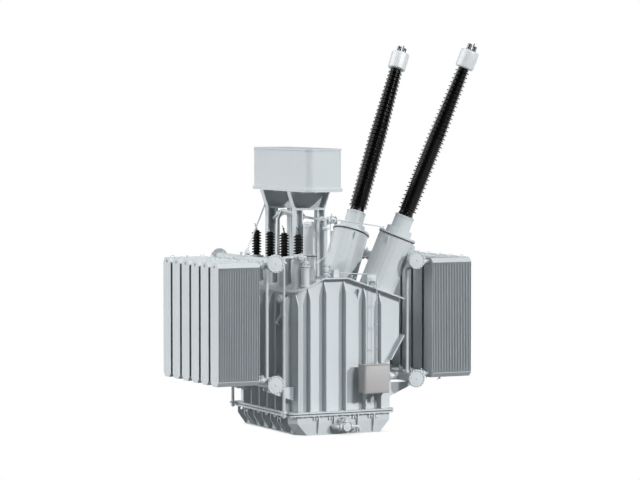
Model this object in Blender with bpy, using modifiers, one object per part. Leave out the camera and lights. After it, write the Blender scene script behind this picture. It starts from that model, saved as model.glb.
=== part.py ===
"""Power transformer standing on its base tray, in metres, Z up.
X runs across the tank and Y along it. The origin is on the ground under the
middle of the tank, and -Y is the end that carries the control cabinet.
"""
import math

import bmesh
import bpy
from mathutils import Vector

# Clearance between pieces that touch, and how deep joined pieces reach into each other
GAP = 0.0004
SUNK = 0.05

# Base tray: hull-shaped box under a flange, its sides open between gussets
TRAY_HALF_X = 1.50
TRAY_HALF_Y = 1.82
TRAY_FOOT_X = TRAY_HALF_X - 0.21
TRAY_FOOT_Y = TRAY_HALF_Y - 0.04
TRAY_KNEE_Z = 0.33
TRAY_FLOOR_T = 0.03
TRAY_WALL_X = TRAY_HALF_X - 0.28
END_LEFT_X = 0.16 - TRAY_HALF_X
END_RIGHT_X = TRAY_HALF_X - 0.06
END_FOOT_LEFT_X = 0.47 - TRAY_HALF_X
END_FOOT_RIGHT_X = TRAY_HALF_X - 0.33
CORNER_Y = TRAY_HALF_Y - 0.29
CORNER_FOOT_Y = TRAY_HALF_Y - 0.37
BACK_CORNER = 0.04
FLANGE_OUT_X = 0.10
FLANGE_OUT_Y = 0.091
FLANGE_HALF_X = TRAY_HALF_X + FLANGE_OUT_X
FLANGE_HALF_Y = TRAY_HALF_Y + FLANGE_OUT_Y
FLANGE_R = 0.18
FLANGE_T = 0.04
FLANGE_Z = 0.53
GASKET_T = 0.025
GASKET_IN = 0.05
GUSSET_N = 7
GUSSET_T = 0.03
GUSSET_PITCH = TRAY_HALF_Y * 0.302
GUSSET_SHIFT = 0.13
LUG_PAIR = 0.17
LUG_Z = 0.40
HOLE_R = 0.045
HOLE_X = TRAY_HALF_X - 0.12
HOLE_Z = 0.43
END_GUSSET_OUT = 0.07
END_GUSSET_LOW = 0.04

# Bell-shaped tank
WALL_LEFT = 0.14 - TRAY_HALF_X
WALL_RIGHT = TRAY_HALF_X + 0.02
WALL_HALF_Y = TRAY_HALF_Y - 0.13
WALL_R = 0.30
POCKET_RIGHT = WALL_RIGHT + 0.28
POCKET_LOW_Z = 2.09
POCKET_HIGH_Z = 2.55
RIB_T = 0.03
RIB_EDGE_Y = FLANGE_HALF_Y - 0.021
RIB_EDGE_X = FLANGE_HALF_X - 0.03
RIB_DROP = 0.06
RIB_TAPER = 0.30
RIB_LAND = 0.03
END_RIBS = (0.009, 0.135, 0.300, 0.506, 0.716, 0.879)
TRAY_RIBS = (0.221, 0.388, 0.646, 0.822)
SIDE_RIB_Y = -0.085
SIDE_RIB_PITCH = WALL_HALF_Y * 0.3135
SIDE_RIB_N = 6
SIDE_RIB_TAPER = 0.16
SHELF_T = 0.035
SHELF_OUT = 0.12
SHELF_SIDE = 0.19
BRACKET_W = 0.10
BRACKET_H = 0.12
BRACKET_ROOT = 0.25
BRACKET_TIP = 0.07
BRACKET_END_X = 2.25

# Cover, given by its top surface
EAVE_LEFT_X = WALL_LEFT - 0.05
EAVE_RIGHT_X = POCKET_RIGHT + 0.09
RIDGE_LEFT_X = -0.55
RIDGE_RIGHT_X = 0.16
RIDGE_Z = 4.264
SLOPE_LEFT = 0.4316
SLOPE_RIGHT = 0.3536
COVER_T = 0.035
COVER_HALF_Y = WALL_HALF_Y + 0.17
COVER_R = WALL_R + 0.03

# Radiators, six a side
RAD_N = 6
RAD_PITCH = 0.649
RAD_FIRST_Y = -1.880
RAD_W = 0.52
RAD_INNER_X = 2.607
RAD_LOW = 1.453
RAD_HIGH = 4.749
RAD_CHAMFER = 0.115
RAD_BAND = 0.13
PLATE_N = 25
PLATE_PITCH = 0.0495
PLATE_T = 0.030
HEADER_IN = 0.10
STUB_R = 0.055
STUB_L = 0.16

# Header pipes along the banks
HEAD_X = 2.125
HEAD_HIGH = 4.705
HEAD_LOW = 1.455
HEAD_R = 0.13
HEAD_FRONT_Y = -2.14
HEAD_BACK_Y = 1.66
BLIND_R = 0.245
BLIND_T = 0.05
SOCKET_R = 0.07
DRUM_END_R = 0.20
DRUM_END_L = 0.24
EAST_X = 2.325
EAST_R = 0.10
EAST_COLLAR = 0.06
BRANCH_R = 0.11
BRANCH_Y = (-1.145, 1.00)
TOP_BRANCH_R = 0.09
TOP_BRANCH_Y = 0.445
TOP_BRANCH_Z = 3.45
BRACKET_Y = (-1.60, 1.02)
POST_R = 0.045
POST_Y = -1.55
POST_BEND_Z = 4.42
POST_BEND_H = 0.08

# Oil pipes beside the left corners
OIL_R = 0.045
OIL_X = -FLANGE_HALF_X - 0.10
OIL_LOW = 0.52
OIL_HIGH = 4.84
OIL_REAR_Y = WALL_HALF_Y - 0.02
OIL_ROOT_Y = WALL_HALF_Y - WALL_R - OIL_R - 0.01
OIL_REAR_Z = 1.08

# Conservator and its two supports, which are plated channels open to the front
CONS_X = -0.50
CONS_W = 1.09
CONS_L = 3.62
CONS_LOW = 6.59
CONS_HIGH = 7.765
CONS_R = 0.20
LIP_LOW_OUT = 0.04
LIP_HIGH_OUT = 0.018
LIP_LOW_T = 0.09
LIP_HIGH_T = 0.05
SUP_X = -0.56
SUP_Y = 0.88
SUP_D = 0.21
SUP_PLATE = 0.04
HEAD_W = 1.22
NECK_W = 0.90
NECK_Z = 6.12
LEG_W = 0.235
LEG_TOP = 0.045

# High-voltage turrets and bushings, lengths along the leaning axis
TURRET_X = 1.894
TURRET_Y = 1.435
TURRET_Z = 5.382
LEAN_X = 0.378
LEAN_Y = 0.131
TURRET_R = 0.505
TURRET_RIM_R = 0.53
TURRET_RIM_T = 0.05
TURRET_DOWN = 2.15
DISC_R = 0.36
DISC_T = 0.16
NECK_R = 0.265
BUSH_LOW = 0.548
BUSH_FOOT_R = 0.20
BUSH_FOOT_T = 0.10
BUSH_CONE = 0.04
CORE_R = 0.165
CORE_TOP_R = 0.115
SHED_N = 31
SHED_R = 0.25
SHED_TOP_R = 0.195
SHED_HIGH = 0.20
SHED_LOW = 0.62
CAP_LOW = 4.92
CAP_HIGH = 5.44
CAP_R = 0.26
CAP_EDGE = 0.045
STUD_R = 0.11
STUD_HIGH = 0.16
EYE_R = 0.025
EYE_HIGH = 0.25

# Low-voltage drums and bushings on the left slope
LV_N = 4
LV_X = -1.10
LV_PITCH = 0.91
LV_DRUM_R = 0.19
LV_DRUM_TOP = 4.74
LV_RIM_R = 0.205
LV_RIM_T = 0.03
LV_CORE_R = 0.08
LV_SHED_N = 7
LV_SHED_R = 0.13
LV_FOOT_R = 0.10
LV_FOOT_T = 0.035
LV_CONE = 0.012
LV_TOP = 5.43
LV_STUD_R = 0.024
LV_STUD = 0.21

# Ring plates under the roof pieces
RING_R = 0.215
RING_T = 0.03

# Column and small drum on the roof
COL_X = -0.68
COL_Y = -SUP_Y - 0.31
COL_R = 0.165
COL_TOP = 5.77
COL_EDGE = 0.05
SLEEVE_R = 0.19
SLEEVE_TOP = 4.85
DRUM_X = -1.06
DRUM_Y = -1.72
DRUM_R = 0.11
DRUM_RIM_R = 0.13
DRUM_RIM_T = 0.03
DRUM_TOP = 4.60

# Relay pipe, gas relay and the thin pipes
RELAY_PIPE_R = 0.05
RELAY_HIGH_X = -0.59
RELAY_HIGH_Y = 1.15
RELAY_HIGH_Z = 5.95
RELAY_X = -0.46
RELAY_Y = -1.75
RELAY_Z = 5.82
RELAY_L = 0.26
RELAY_R = 0.085
RELAY_COLLAR_R = 0.11
RELAY_COLLAR_T = 0.03
VENT_R = 0.018
VENT_HIGH = 0.05
VENT_RUN = 0.10
VENT_SEAT_IN = 0.05
BREATHER_R = 0.022
BREATHER_X = -1.00
BREATHER_Y = SUP_Y + SUP_D / 2 + 0.065
BREATHER_BEND_Z = 6.15
BREATHER_LOW_Y = -0.27
BREATHER_VALVE_R = 0.055
BREATHER_VALVE_H = 0.11
BREATHER_BEND_H = 0.16

# Control cabinet, its conduit and the drain valve
CAB_X = 0.832
CAB_W = 0.75
CAB_LOW = 1.118
CAB_HIGH = 1.90
CAB_D = 0.40
CAB_EDGE = 0.008
CONDUIT_X = 0.99
CONDUIT_R = 0.02
CONDUIT_OUT = 0.06
CONDUIT_TOP = 4.33
BOX_X = -0.12
BOX_Y = -1.62
BOX_SIZE = 0.16
BOX_HIGH = 4.46
VALVE_X = -0.02
VALVE_Z = 0.20
VALVE_R = 0.055
VALVE_COLLAR_R = 0.10
VALVE_COLLAR_T = 0.03
VALVE_L = 0.34
SPOUT_Y = 0.20
SPOUT_R = 0.049
SPOUT_L = 0.29
SPOUT_FLANGE_R = 0.09

# How far cutters reach: past every piece sideways, upward and below the roof
FAR = 3.0
HIGH = 6.0
DEEP = 3.5

# Roundness of large, middle and small pieces
COARSE = 24
MIDDLE = 16
FINE = 12
SLIM = 8

AXES = {"X": (math.pi / 2, 0, math.pi / 2), "Y": (math.pi / 2, 0, 0), "Z": (0, 0, 0)}


def clear():
    for thing in list(bpy.data.objects):
        bpy.data.objects.remove(thing, do_unlink=True)


clear()
assembly = bpy.data.collections.new("power_transformer")
bpy.context.scene.collection.children.link(assembly)
tools = bpy.data.collections.new("cutters")
bpy.context.scene.collection.children.link(tools)
ground = bpy.data.objects.new("ground_point", None)
bpy.context.scene.collection.objects.link(ground)


def material(name, rgb, metallic, roughness):
    mat = bpy.data.materials.new(name)
    mat.use_nodes = True
    shader = mat.node_tree.nodes["Principled BSDF"]
    shader.inputs["Base Color"].default_value = (*rgb, 1.0)
    shader.inputs["Metallic"].default_value = metallic
    shader.inputs["Roughness"].default_value = roughness
    return mat


GREY = material("grey_paint", (0.62, 0.66, 0.69), 0.0, 0.4)
TAUPE = material("cabinet_paint", (0.45, 0.42, 0.40), 0.0, 0.45)
BLACK = material("silicone", (0.012, 0.012, 0.014), 0.0, 0.5)
SILVER = material("cast_aluminium", (0.72, 0.74, 0.76), 1.0, 0.35)


# Objects: a part takes a material, a cutter or a joining piece takes none
def place(name, data, mat=None):
    item = bpy.data.objects.new(name, data)
    if mat is None:
        tools.objects.link(item)
        item.hide_render = True
        item.display_type = "WIRE"
    else:
        assembly.objects.link(item)
        item.parent = ground
        if not data.materials:
            data.materials.append(mat)
    return item


def from_bmesh(name, bm, mat=None):
    mesh = bpy.data.meshes.new(name)
    bmesh.ops.recalc_face_normals(bm, faces=bm.faces[:])
    bm.to_mesh(mesh)
    bm.free()
    return place(name, mesh, mat)


def from_curve(name, curve, mat=None, turn=(0, 0, 0), move=(0, 0, 0)):
    """Turns a curve into a closed mesh object that keeps the curve's place."""
    draft = bpy.data.objects.new(name, curve)
    tools.objects.link(draft)
    draft.rotation_euler = turn
    draft.location = move
    graph = bpy.context.evaluated_depsgraph_get()
    mesh = bpy.data.meshes.new_from_object(draft.evaluated_get(graph))
    where = draft.matrix_world.copy()
    bpy.data.objects.remove(draft, do_unlink=True)
    bpy.data.curves.remove(curve)
    bm = bmesh.new()
    bm.from_mesh(mesh)
    bpy.data.meshes.remove(mesh)
    bmesh.ops.remove_doubles(bm, verts=bm.verts[:], dist=0.00005)
    item = from_bmesh(name, bm, mat)
    item.matrix_world = where
    return item


def box(name, low, high, mat=None):
    bm = bmesh.new()
    bmesh.ops.create_cube(bm, size=1.0)
    size = Vector(high) - Vector(low)
    bmesh.ops.scale(bm, vec=size, verts=bm.verts[:])
    item = from_bmesh(name, bm, mat)
    item.location = (Vector(high) + Vector(low)) / 2
    return item


def rod(name, start, end, radius, steps=FINE, mat=None):
    span = Vector(end) - Vector(start)
    bm = bmesh.new()
    bmesh.ops.create_cone(
        bm, cap_ends=True, segments=steps, radius1=radius, radius2=radius, depth=span.length
    )
    item = from_bmesh(name, bm, mat)
    item.location = (Vector(start) + Vector(end)) / 2
    item.rotation_euler = span.to_track_quat("Z", "Y").to_euler()
    return item


def turned(name, profile, base, axis, steps, mat=None):
    """Sweeps (radius, height) pairs, listed from the top down, round an axis."""
    line = [(0.0, profile[0][1])] + list(profile) + [(0.0, profile[-1][1])]
    mesh = bpy.data.meshes.new(name)
    spots = [(radius, 0.0, height) for radius, height in line]
    mesh.from_pydata(spots, [(i, i + 1) for i in range(len(spots) - 1)], [])
    item = place(name, mesh, mat)
    screw = item.modifiers.new("turn", "SCREW")
    screw.steps = steps
    screw.render_steps = steps
    screw.use_merge_vertices = True
    screw.merge_threshold = 0.0001
    item.location = base
    item.rotation_euler = Vector(axis).to_track_quat("Z", "Y").to_euler()
    return item


def plate(name, outline, low, high, axis, mat=None):
    """Thickens a flat outline along an axis: pairs are (y, z) for X, (x, z) for Y, (x, y) for Z."""
    curve = bpy.data.curves.new(name, "CURVE")
    curve.dimensions = "2D"
    curve.fill_mode = "BOTH"
    curve.extrude = (high - low) / 2
    line = curve.splines.new("POLY")
    line.points.add(len(outline) - 1)
    for spot, p in zip(line.points, outline):
        spot.co = (p[0], p[1], 0.0, 1.0)
    line.use_cyclic_u = True
    middle = (high + low) / 2
    move = {"X": (middle, 0, 0), "Y": (0, middle, 0), "Z": (0, 0, middle)}[axis]
    return from_curve(name, curve, mat, AXES[axis], move)


def pipe(name, points, radius, mat=None):
    """A round pipe along straight runs, mitred at its bends."""
    curve = bpy.data.curves.new(name, "CURVE")
    curve.dimensions = "3D"
    curve.bevel_depth = radius
    curve.bevel_resolution = 2
    curve.use_fill_caps = True
    line = curve.splines.new("POLY")
    line.points.add(len(points) - 1)
    for spot, p in zip(line.points, points):
        spot.co = (*p, 1.0)
    return from_curve(name, curve, mat)


def bake(item):
    """Applies the modifiers, then shades round faces smooth."""
    graph = bpy.context.evaluated_depsgraph_get()
    mesh = bpy.data.meshes.new_from_object(item.evaluated_get(graph))
    old = item.data
    item.modifiers.clear()
    item.data = mesh
    bpy.data.meshes.remove(old)
    mesh.shade_smooth()
    mesh.set_sharp_from_angle(angle=math.radians(35))
    return item


def combine(item, kind, pieces):
    for piece in pieces:
        mod = item.modifiers.new(kind.lower(), "BOOLEAN")
        mod.operation = kind
        mod.solver = "EXACT"
        mod.object = piece
    return item


def finish(item, joined=(), cut=()):
    """Joins and cuts a part, bakes it and removes its one-off pieces."""
    combine(item, "UNION", joined)
    combine(item, "DIFFERENCE", cut)
    bake(item)
    for piece in list(joined) + list(cut):
        if piece is not roof_tool:
            bpy.data.objects.remove(piece, do_unlink=True)
    return item


def rounded(left, right, low, high, corners, steps=4):
    """A rectangle in plan with corner radii in the order ++, -+, --, +-."""
    line = []
    signs = ((right, high, -1, -1), (left, high, 1, -1), (left, low, 1, 1), (right, low, -1, 1))
    for k, (x, y, sx, sy) in enumerate(signs):
        radius = corners[k]
        if radius <= 0:
            line.append((x, y))
            continue
        for i in range(steps + 1):
            a = math.radians(90 * k + 90 * i / steps)
            across = x + radius * (sx + math.cos(a))
            along = y + radius * (sy + math.sin(a))
            line.append((across, along))
    return line


# The roof surface and the cutters that follow it
def roof_z(x):
    if x < RIDGE_LEFT_X:
        return RIDGE_Z - SLOPE_LEFT * (RIDGE_LEFT_X - x)
    if x > RIDGE_RIGHT_X:
        return RIDGE_Z - SLOPE_RIGHT * (x - RIDGE_RIGHT_X)
    return RIDGE_Z


def roof_line(left, right, lift):
    marks = (left, RIDGE_LEFT_X, RIDGE_RIGHT_X, right)
    return [(x, roof_z(x) + lift) for x in marks]


roof_foot = [(FAR, DEEP - FAR), (-FAR, DEEP - FAR)]
roof_tool = plate("under_roof", roof_line(-FAR, FAR, GAP) + roof_foot, -FAR, FAR, "Y")


def ring_plate(x, y, radius):
    """A plate that lies on the roof under a round piece."""
    ring = rod("ring", (x, y, DEEP), (x, y, RIDGE_Z + 2 * radius), radius, COARSE)
    above = roof_line(-FAR, FAR, RING_T)
    lid = plate("above_roof", above + [(FAR, HIGH), (-FAR, HIGH)], -FAR, FAR, "Y")
    return finish(ring, cut=[lid])


def gusset_rows():
    """Places of the side gussets: single ones, and a pair at each jacking lug."""
    rows = []
    for i in range(GUSSET_N):
        y = (i - (GUSSET_N - 1) / 2) * GUSSET_PITCH + GUSSET_SHIFT
        if i in (1, GUSSET_N - 2):
            rows += [y - LUG_PAIR / 2, y + LUG_PAIR / 2]
        else:
            rows.append(y)
    return rows


# Base tray: hull-shaped box, open bays between side gussets, flange on top
def tray_plan(half_x, half_y, left, right, corner_y, z):
    back = half_y - BACK_CORNER
    side = half_x - BACK_CORNER
    spots = [
        (left, -half_y), (right, -half_y), (half_x, -corner_y), (half_x, back),
        (side, half_y), (-side, half_y), (-half_x, back), (-half_x, -corner_y),
    ]
    return [(x, y, z) for x, y in spots]


def tray_body():
    top = FLANGE_Z + FLANGE_T / 2
    levels = [
        tray_plan(TRAY_FOOT_X, TRAY_FOOT_Y, END_FOOT_LEFT_X, END_FOOT_RIGHT_X, CORNER_FOOT_Y, 0.0),
        tray_plan(TRAY_HALF_X, TRAY_HALF_Y, END_LEFT_X, END_RIGHT_X, CORNER_Y, TRAY_KNEE_Z),
        tray_plan(TRAY_HALF_X, TRAY_HALF_Y, END_LEFT_X, END_RIGHT_X, CORNER_Y, top),
    ]
    bm = bmesh.new()
    rings = [[bm.verts.new(p) for p in level] for level in levels]
    count = len(rings[0])
    for lower, upper in zip(rings, rings[1:]):
        for i in range(count):
            j = (i + 1) % count
            bm.faces.new((lower[i], lower[j], upper[j], upper[i]))
    bm.faces.new(rings[0][::-1])
    bm.faces.new(rings[-1])
    bmesh.ops.triangulate(bm, faces=bm.faces[:])
    return from_bmesh("base_tray", bm, GREY)


def flange_plan(inset):
    """The flange's outline: wide corners at the front, close ones at the rear."""
    corners = [FLANGE_R * 0.6 - inset / 2] * 2 + [FLANGE_R - inset / 2] * 2
    half_x = FLANGE_HALF_X - inset
    half_y = FLANGE_HALF_Y - inset
    return rounded(-half_x, half_x, -half_y, half_y, corners)


def box_between(name, x1, x2, y, z):
    low = (min(x1, x2), y[0], z[0])
    high = (max(x1, x2), y[1], z[1])
    return box(name, low, high)


def base_tray():
    item = tray_body()
    rows = gusset_rows()
    cuts = []
    joins = []
    edges = [-CORNER_Y] + rows + [TRAY_HALF_Y]
    half_t = GUSSET_T / 2
    for side in (-1, 1):
        wall = side * TRAY_WALL_X
        out = side * (TRAY_HALF_X + SUNK)
        for a, b in zip(edges, edges[1:]):
            y = (a + half_t, b - half_t)
            cuts.append(box_between("bay", wall, out, y, (TRAY_FLOOR_T, FLANGE_Z)))
        x = side * HOLE_X
        cuts.append(rod("hole", (x, rows[0] - SUNK, HOLE_Z), (x, rows[-1] + SUNK, HOLE_Z), HOLE_R, SLIM))
        for y in (rows[1], rows[GUSSET_N - 1]):
            inner = side * (TRAY_WALL_X - SUNK)
            tip = side * (TRAY_HALF_X - half_t)
            joins.append(box_between("lug", inner, tip, (y, y + LUG_PAIR), (LUG_Z, LUG_Z + GUSSET_T)))
    width = END_RIGHT_X - END_LEFT_X
    for side in (-1, 1):
        inner = side * (TRAY_FOOT_Y - SUNK)
        foot = side * (TRAY_FOOT_Y + END_GUSSET_OUT / 2)
        edge = side * (TRAY_HALF_Y + END_GUSSET_OUT)
        top = FLANGE_Z + FLANGE_T / 3
        web = [
            (inner, END_GUSSET_LOW), (foot, END_GUSSET_LOW), (edge, TRAY_KNEE_Z), (edge, top), (inner, top),
        ]
        for share in TRAY_RIBS:
            x = END_LEFT_X + share * width
            joins.append(plate("gusset", web, x - half_t, x + half_t, "X"))
    joins.append(plate("flange", flange_plan(0), FLANGE_Z, FLANGE_Z + FLANGE_T, "Z"))
    joins.append(
        plate("land", flange_plan(GASKET_IN), FLANGE_Z + FLANGE_T / 2, FLANGE_Z + FLANGE_T + GASKET_T, "Z")
    )
    combine(item, "DIFFERENCE", cuts)
    bake(item)
    for piece in cuts:
        bpy.data.objects.remove(piece, do_unlink=True)
    return finish(item, joins)


# Tank: folded roof profile with rounded left corners, pocket, ribs, flange
def tank():
    sink = -COVER_T - GAP
    foot = FLANGE_Z + FLANGE_T + GASKET_T + GAP
    line = roof_line(WALL_LEFT, POCKET_RIGHT, sink)
    outline = line + [
        (POCKET_RIGHT, POCKET_HIGH_Z), (WALL_RIGHT, POCKET_LOW_Z), (WALL_RIGHT, foot), (WALL_LEFT, foot),
    ]
    item = plate("tank", outline, -WALL_HALF_Y, WALL_HALF_Y, "Y", GREY)
    plan = rounded(WALL_LEFT, POCKET_RIGHT + FAR, -WALL_HALF_Y, WALL_HALF_Y, (0, WALL_R, WALL_R, 0), 5)
    keep = plate("plan", plan, foot - SUNK, HIGH, "Z")
    combine(item, "INTERSECT", [keep])
    bake(item)
    bpy.data.objects.remove(keep, do_unlink=True)
    joins = [plate("flange", flange_plan(0), foot, foot + FLANGE_T, "Z")]
    web_foot = foot + FLANGE_T / 2
    width = WALL_RIGHT - WALL_LEFT
    for side in (-1, 1):
        inner = side * (WALL_HALF_Y - WALL_R)
        edge = side * RIB_EDGE_Y
        wall = side * (WALL_HALF_Y + RIB_LAND)
        for share in END_RIBS:
            x = WALL_LEFT + share * width
            top = min(roof_z(x - RIB_T), roof_z(x + RIB_T)) + sink - RIB_DROP
            web = [(inner, web_foot), (edge, web_foot), (edge, top - RIB_TAPER), (wall, top), (inner, top)]
            joins.append(plate("rib", web, x - RIB_T / 2, x + RIB_T / 2, "X"))
        wall = WALL_LEFT if side < 0 else WALL_RIGHT
        top = roof_z(WALL_LEFT) + sink - RIB_DROP if side < 0 else POCKET_LOW_Z
        edge = side * RIB_EDGE_X
        inner = wall - side * SUNK
        land = wall + side * RIB_LAND
        web = [(inner, web_foot), (edge, web_foot), (edge, top - SIDE_RIB_TAPER), (land, top), (inner, top)]
        for i in range(SIDE_RIB_N):
            y = SIDE_RIB_Y + (i - (SIDE_RIB_N - 1) / 2) * SIDE_RIB_PITCH
            joins.append(plate("rib", web, y - RIB_T / 2, y + RIB_T / 2, "Y"))
        end = side * BRACKET_END_X
        top = HEAD_LOW - HEAD_R - GAP
        low = top - BRACKET_H
        root = low - BRACKET_ROOT
        inner = wall - side * WALL_R
        arm = [(inner, root), (inner, top), (end, top), (end, top - BRACKET_TIP), (land, root)]
        for y in BRACKET_Y:
            joins.append(plate("bracket", arm, y - BRACKET_W / 2, y + BRACKET_W / 2, "Y"))
    run = Vector((POCKET_RIGHT - WALL_RIGHT, 0, POCKET_HIGH_Z - POCKET_LOW_Z)).normalized()
    away = Vector((run.z, 0, -run.x)) * SHELF_T
    start = Vector((WALL_RIGHT, 0, POCKET_LOW_Z)) - run * SHELF_OUT
    end = Vector((POCKET_RIGHT, 0, POCKET_HIGH_Z)) + run * SHELF_OUT
    shelf = [(p.x, p.z) for p in (start, end, end + away, start + away)]
    joins.append(plate("shelf", shelf, -WALL_HALF_Y - SHELF_SIDE, WALL_HALF_Y + SHELF_SIDE, "Y"))
    return finish(item, joins)


# Folded cover plate
def cover():
    top = roof_line(EAVE_LEFT_X, EAVE_RIGHT_X, 0)
    low = roof_line(EAVE_LEFT_X, EAVE_RIGHT_X, -COVER_T)
    item = plate("tank_cover", top + low[::-1], -COVER_HALF_Y, COVER_HALF_Y, "Y", GREY)
    corners = (0, COVER_R, COVER_R, 0)
    plan = rounded(EAVE_LEFT_X, EAVE_RIGHT_X + FAR, -COVER_HALF_Y, COVER_HALF_Y, corners, 5)
    keep = plate("plan", plan, DEEP - SUNK, HIGH, "Z")
    combine(item, "INTERSECT", [keep])
    bake(item)
    bpy.data.objects.remove(keep, do_unlink=True)


# Radiator: one block cut by a row of slots, shared by the twelve objects
def radiator_block():
    half = RAD_W / 2
    flat = half - RAD_CHAMFER
    low = RAD_LOW
    high = RAD_HIGH
    outline = [
        (-flat, low), (flat, low), (half, low + RAD_CHAMFER), (half, high - RAD_CHAMFER),
        (flat, high), (-flat, high), (-half, high - RAD_CHAMFER), (-half, low + RAD_CHAMFER),
    ]
    length = (PLATE_N - 1) * PLATE_PITCH + PLATE_T
    item = plate("radiator", outline, 0, length, "X", GREY)
    near = (PLATE_T, -half - SUNK, low + RAD_BAND)
    slot = box("slots", near, (PLATE_PITCH, half + SUNK, high - RAD_BAND))
    row = slot.modifiers.new("row", "ARRAY")
    row.count = PLATE_N - 1
    row.use_relative_offset = False
    row.use_constant_offset = True
    row.constant_offset_displace = (PLATE_PITCH, 0, 0)
    stubs = []
    for z in (low + HEADER_IN, high - HEADER_IN):
        stubs.append(rod("stub", (-STUB_L, 0, z), (PLATE_T / 2, 0, z), STUB_R, SLIM))
    return finish(item, stubs, [slot])


def radiators():
    block = radiator_block()
    block.data.transform(block.matrix_world)
    for side, word, turn in ((-1, "left", math.pi), (1, "right", 0.0)):
        for i in range(RAD_N):
            item = place(f"radiator_{word}_{i + 1}", block.data, GREY)
            item.location = (side * RAD_INNER_X, RAD_FIRST_Y + i * RAD_PITCH, 0)
            item.rotation_euler = (0, 0, turn)
    bpy.data.objects.remove(block, do_unlink=True)


# Header pipes: blind flanges at the ends, sockets to the radiators, branches to the tank
def run_profile(length):
    return [
        (BLIND_R, length), (BLIND_R, length - BLIND_T), (HEAD_R, length - BLIND_T),
        (HEAD_R, BLIND_T), (BLIND_R, BLIND_T), (BLIND_R, 0),
    ]


def header(side, word, level):
    z = HEAD_HIGH if level == "top" else HEAD_LOW
    x = side * HEAD_X
    name = f"header_{word}_{level}"
    start = (x, HEAD_FRONT_Y, z)
    joins = []
    if side > 0 and level == "top":
        drum = [(DRUM_END_R, DRUM_END_L), (DRUM_END_R, BLIND_T), (BLIND_R, BLIND_T), (BLIND_R, 0)]
        item = turned(name, drum, start, (0, 1, 0), COARSE, GREY)
        x = EAST_X
        front = HEAD_FRONT_Y + DRUM_END_L - SUNK
        length = HEAD_BACK_Y - front
        rear = [
            (EAST_R + EAST_COLLAR, length), (EAST_R + EAST_COLLAR, length - BLIND_T),
            (EAST_R, length - BLIND_T), (EAST_R, 0),
        ]
        joins.append(turned("run", rear, (x, front, z), (0, 1, 0), MIDDLE))
    else:
        item = turned(name, run_profile(HEAD_BACK_Y - HEAD_FRONT_Y), start, (0, 1, 0), COARSE, GREY)
    bake(item)
    rise = RAD_HIGH - HEADER_IN if level == "top" else RAD_LOW + HEADER_IN
    end = side * (RAD_INNER_X - STUB_L - GAP)
    for i in range(RAD_N):
        y = RAD_FIRST_Y + i * RAD_PITCH
        joins.append(rod("socket", (x, y, rise), (end, y, rise), SOCKET_R, SLIM))
    if level == "top":
        wall = WALL_LEFT - GAP if side < 0 else POCKET_RIGHT + GAP
        y = TOP_BRANCH_Y
        low = TOP_BRANCH_Z
        joins.append(rod("drop", (x, y, z), (x, y, low - TOP_BRANCH_R / 3), TOP_BRANCH_R, FINE))
        joins.append(rod("branch", (x, y, low), (wall, y, low), TOP_BRANCH_R * 0.93, FINE))
    else:
        wall = WALL_LEFT - GAP if side < 0 else WALL_RIGHT + GAP
        for y in BRANCH_Y:
            joins.append(rod("branch", (x, y, z), (wall, y, z), BRANCH_R, FINE))
    return finish(item, joins)


def headers():
    for side, word in ((-1, "left"), (1, "right")):
        for level in ("top", "bottom"):
            header(side, word, level)
        x = side * HEAD_X
        points = [(x, POST_Y, HEAD_LOW + HEAD_R + GAP), (x, POST_Y, HEAD_HIGH - HEAD_R - GAP)]
        if side > 0:
            points[1] = (x, POST_Y, POST_BEND_Z)
            points.append((EAST_X, POST_Y, POST_BEND_Z + POST_BEND_H))
            points.append((EAST_X, POST_Y, HEAD_HIGH - EAST_R - GAP))
        bake(pipe(f"header_post_{word}", points, POST_R, GREY))


# Oil pipes: one from the small drum down past the front corner, one at the rear
def oil_pipes():
    points = [
        (DRUM_X, DRUM_Y, DRUM_TOP + GAP), (DRUM_X, DRUM_Y, OIL_HIGH),
        (OIL_X, DRUM_Y, OIL_HIGH), (OIL_X, DRUM_Y, OIL_LOW),
    ]
    bake(pipe("oil_pipe_front", points, OIL_R, GREY))
    points = [
        (WALL_LEFT - GAP, OIL_ROOT_Y, OIL_REAR_Z), (OIL_X, OIL_ROOT_Y, OIL_REAR_Z),
        (OIL_X, OIL_REAR_Y, OIL_REAR_Z), (OIL_X, OIL_REAR_Y, OIL_LOW),
    ]
    bake(pipe("oil_pipe_rear", points, OIL_R, GREY))


# Conservator: a long box with rounded corners between two lips
def conservator():
    half_x = CONS_W / 2
    half_y = CONS_L / 2
    corners = [CONS_R] * 4
    plan = rounded(CONS_X - half_x, CONS_X + half_x, -half_y, half_y, corners, 5)
    item = plate("conservator", plan, CONS_LOW + LIP_LOW_T / 2, CONS_HIGH - LIP_HIGH_T / 2, "Z", GREY)
    lips = []
    for out, low, high in ((LIP_LOW_OUT, CONS_LOW, CONS_LOW + LIP_LOW_T),
                           (LIP_HIGH_OUT, CONS_HIGH - LIP_HIGH_T, CONS_HIGH)):
        wide = half_x + out
        long = half_y + out
        plan = rounded(CONS_X - wide, CONS_X + wide, -long, long, [CONS_R + out] * 4, 5)
        lips.append(plate("lip", plan, low, high, "Z"))
    return finish(item, lips)


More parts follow.
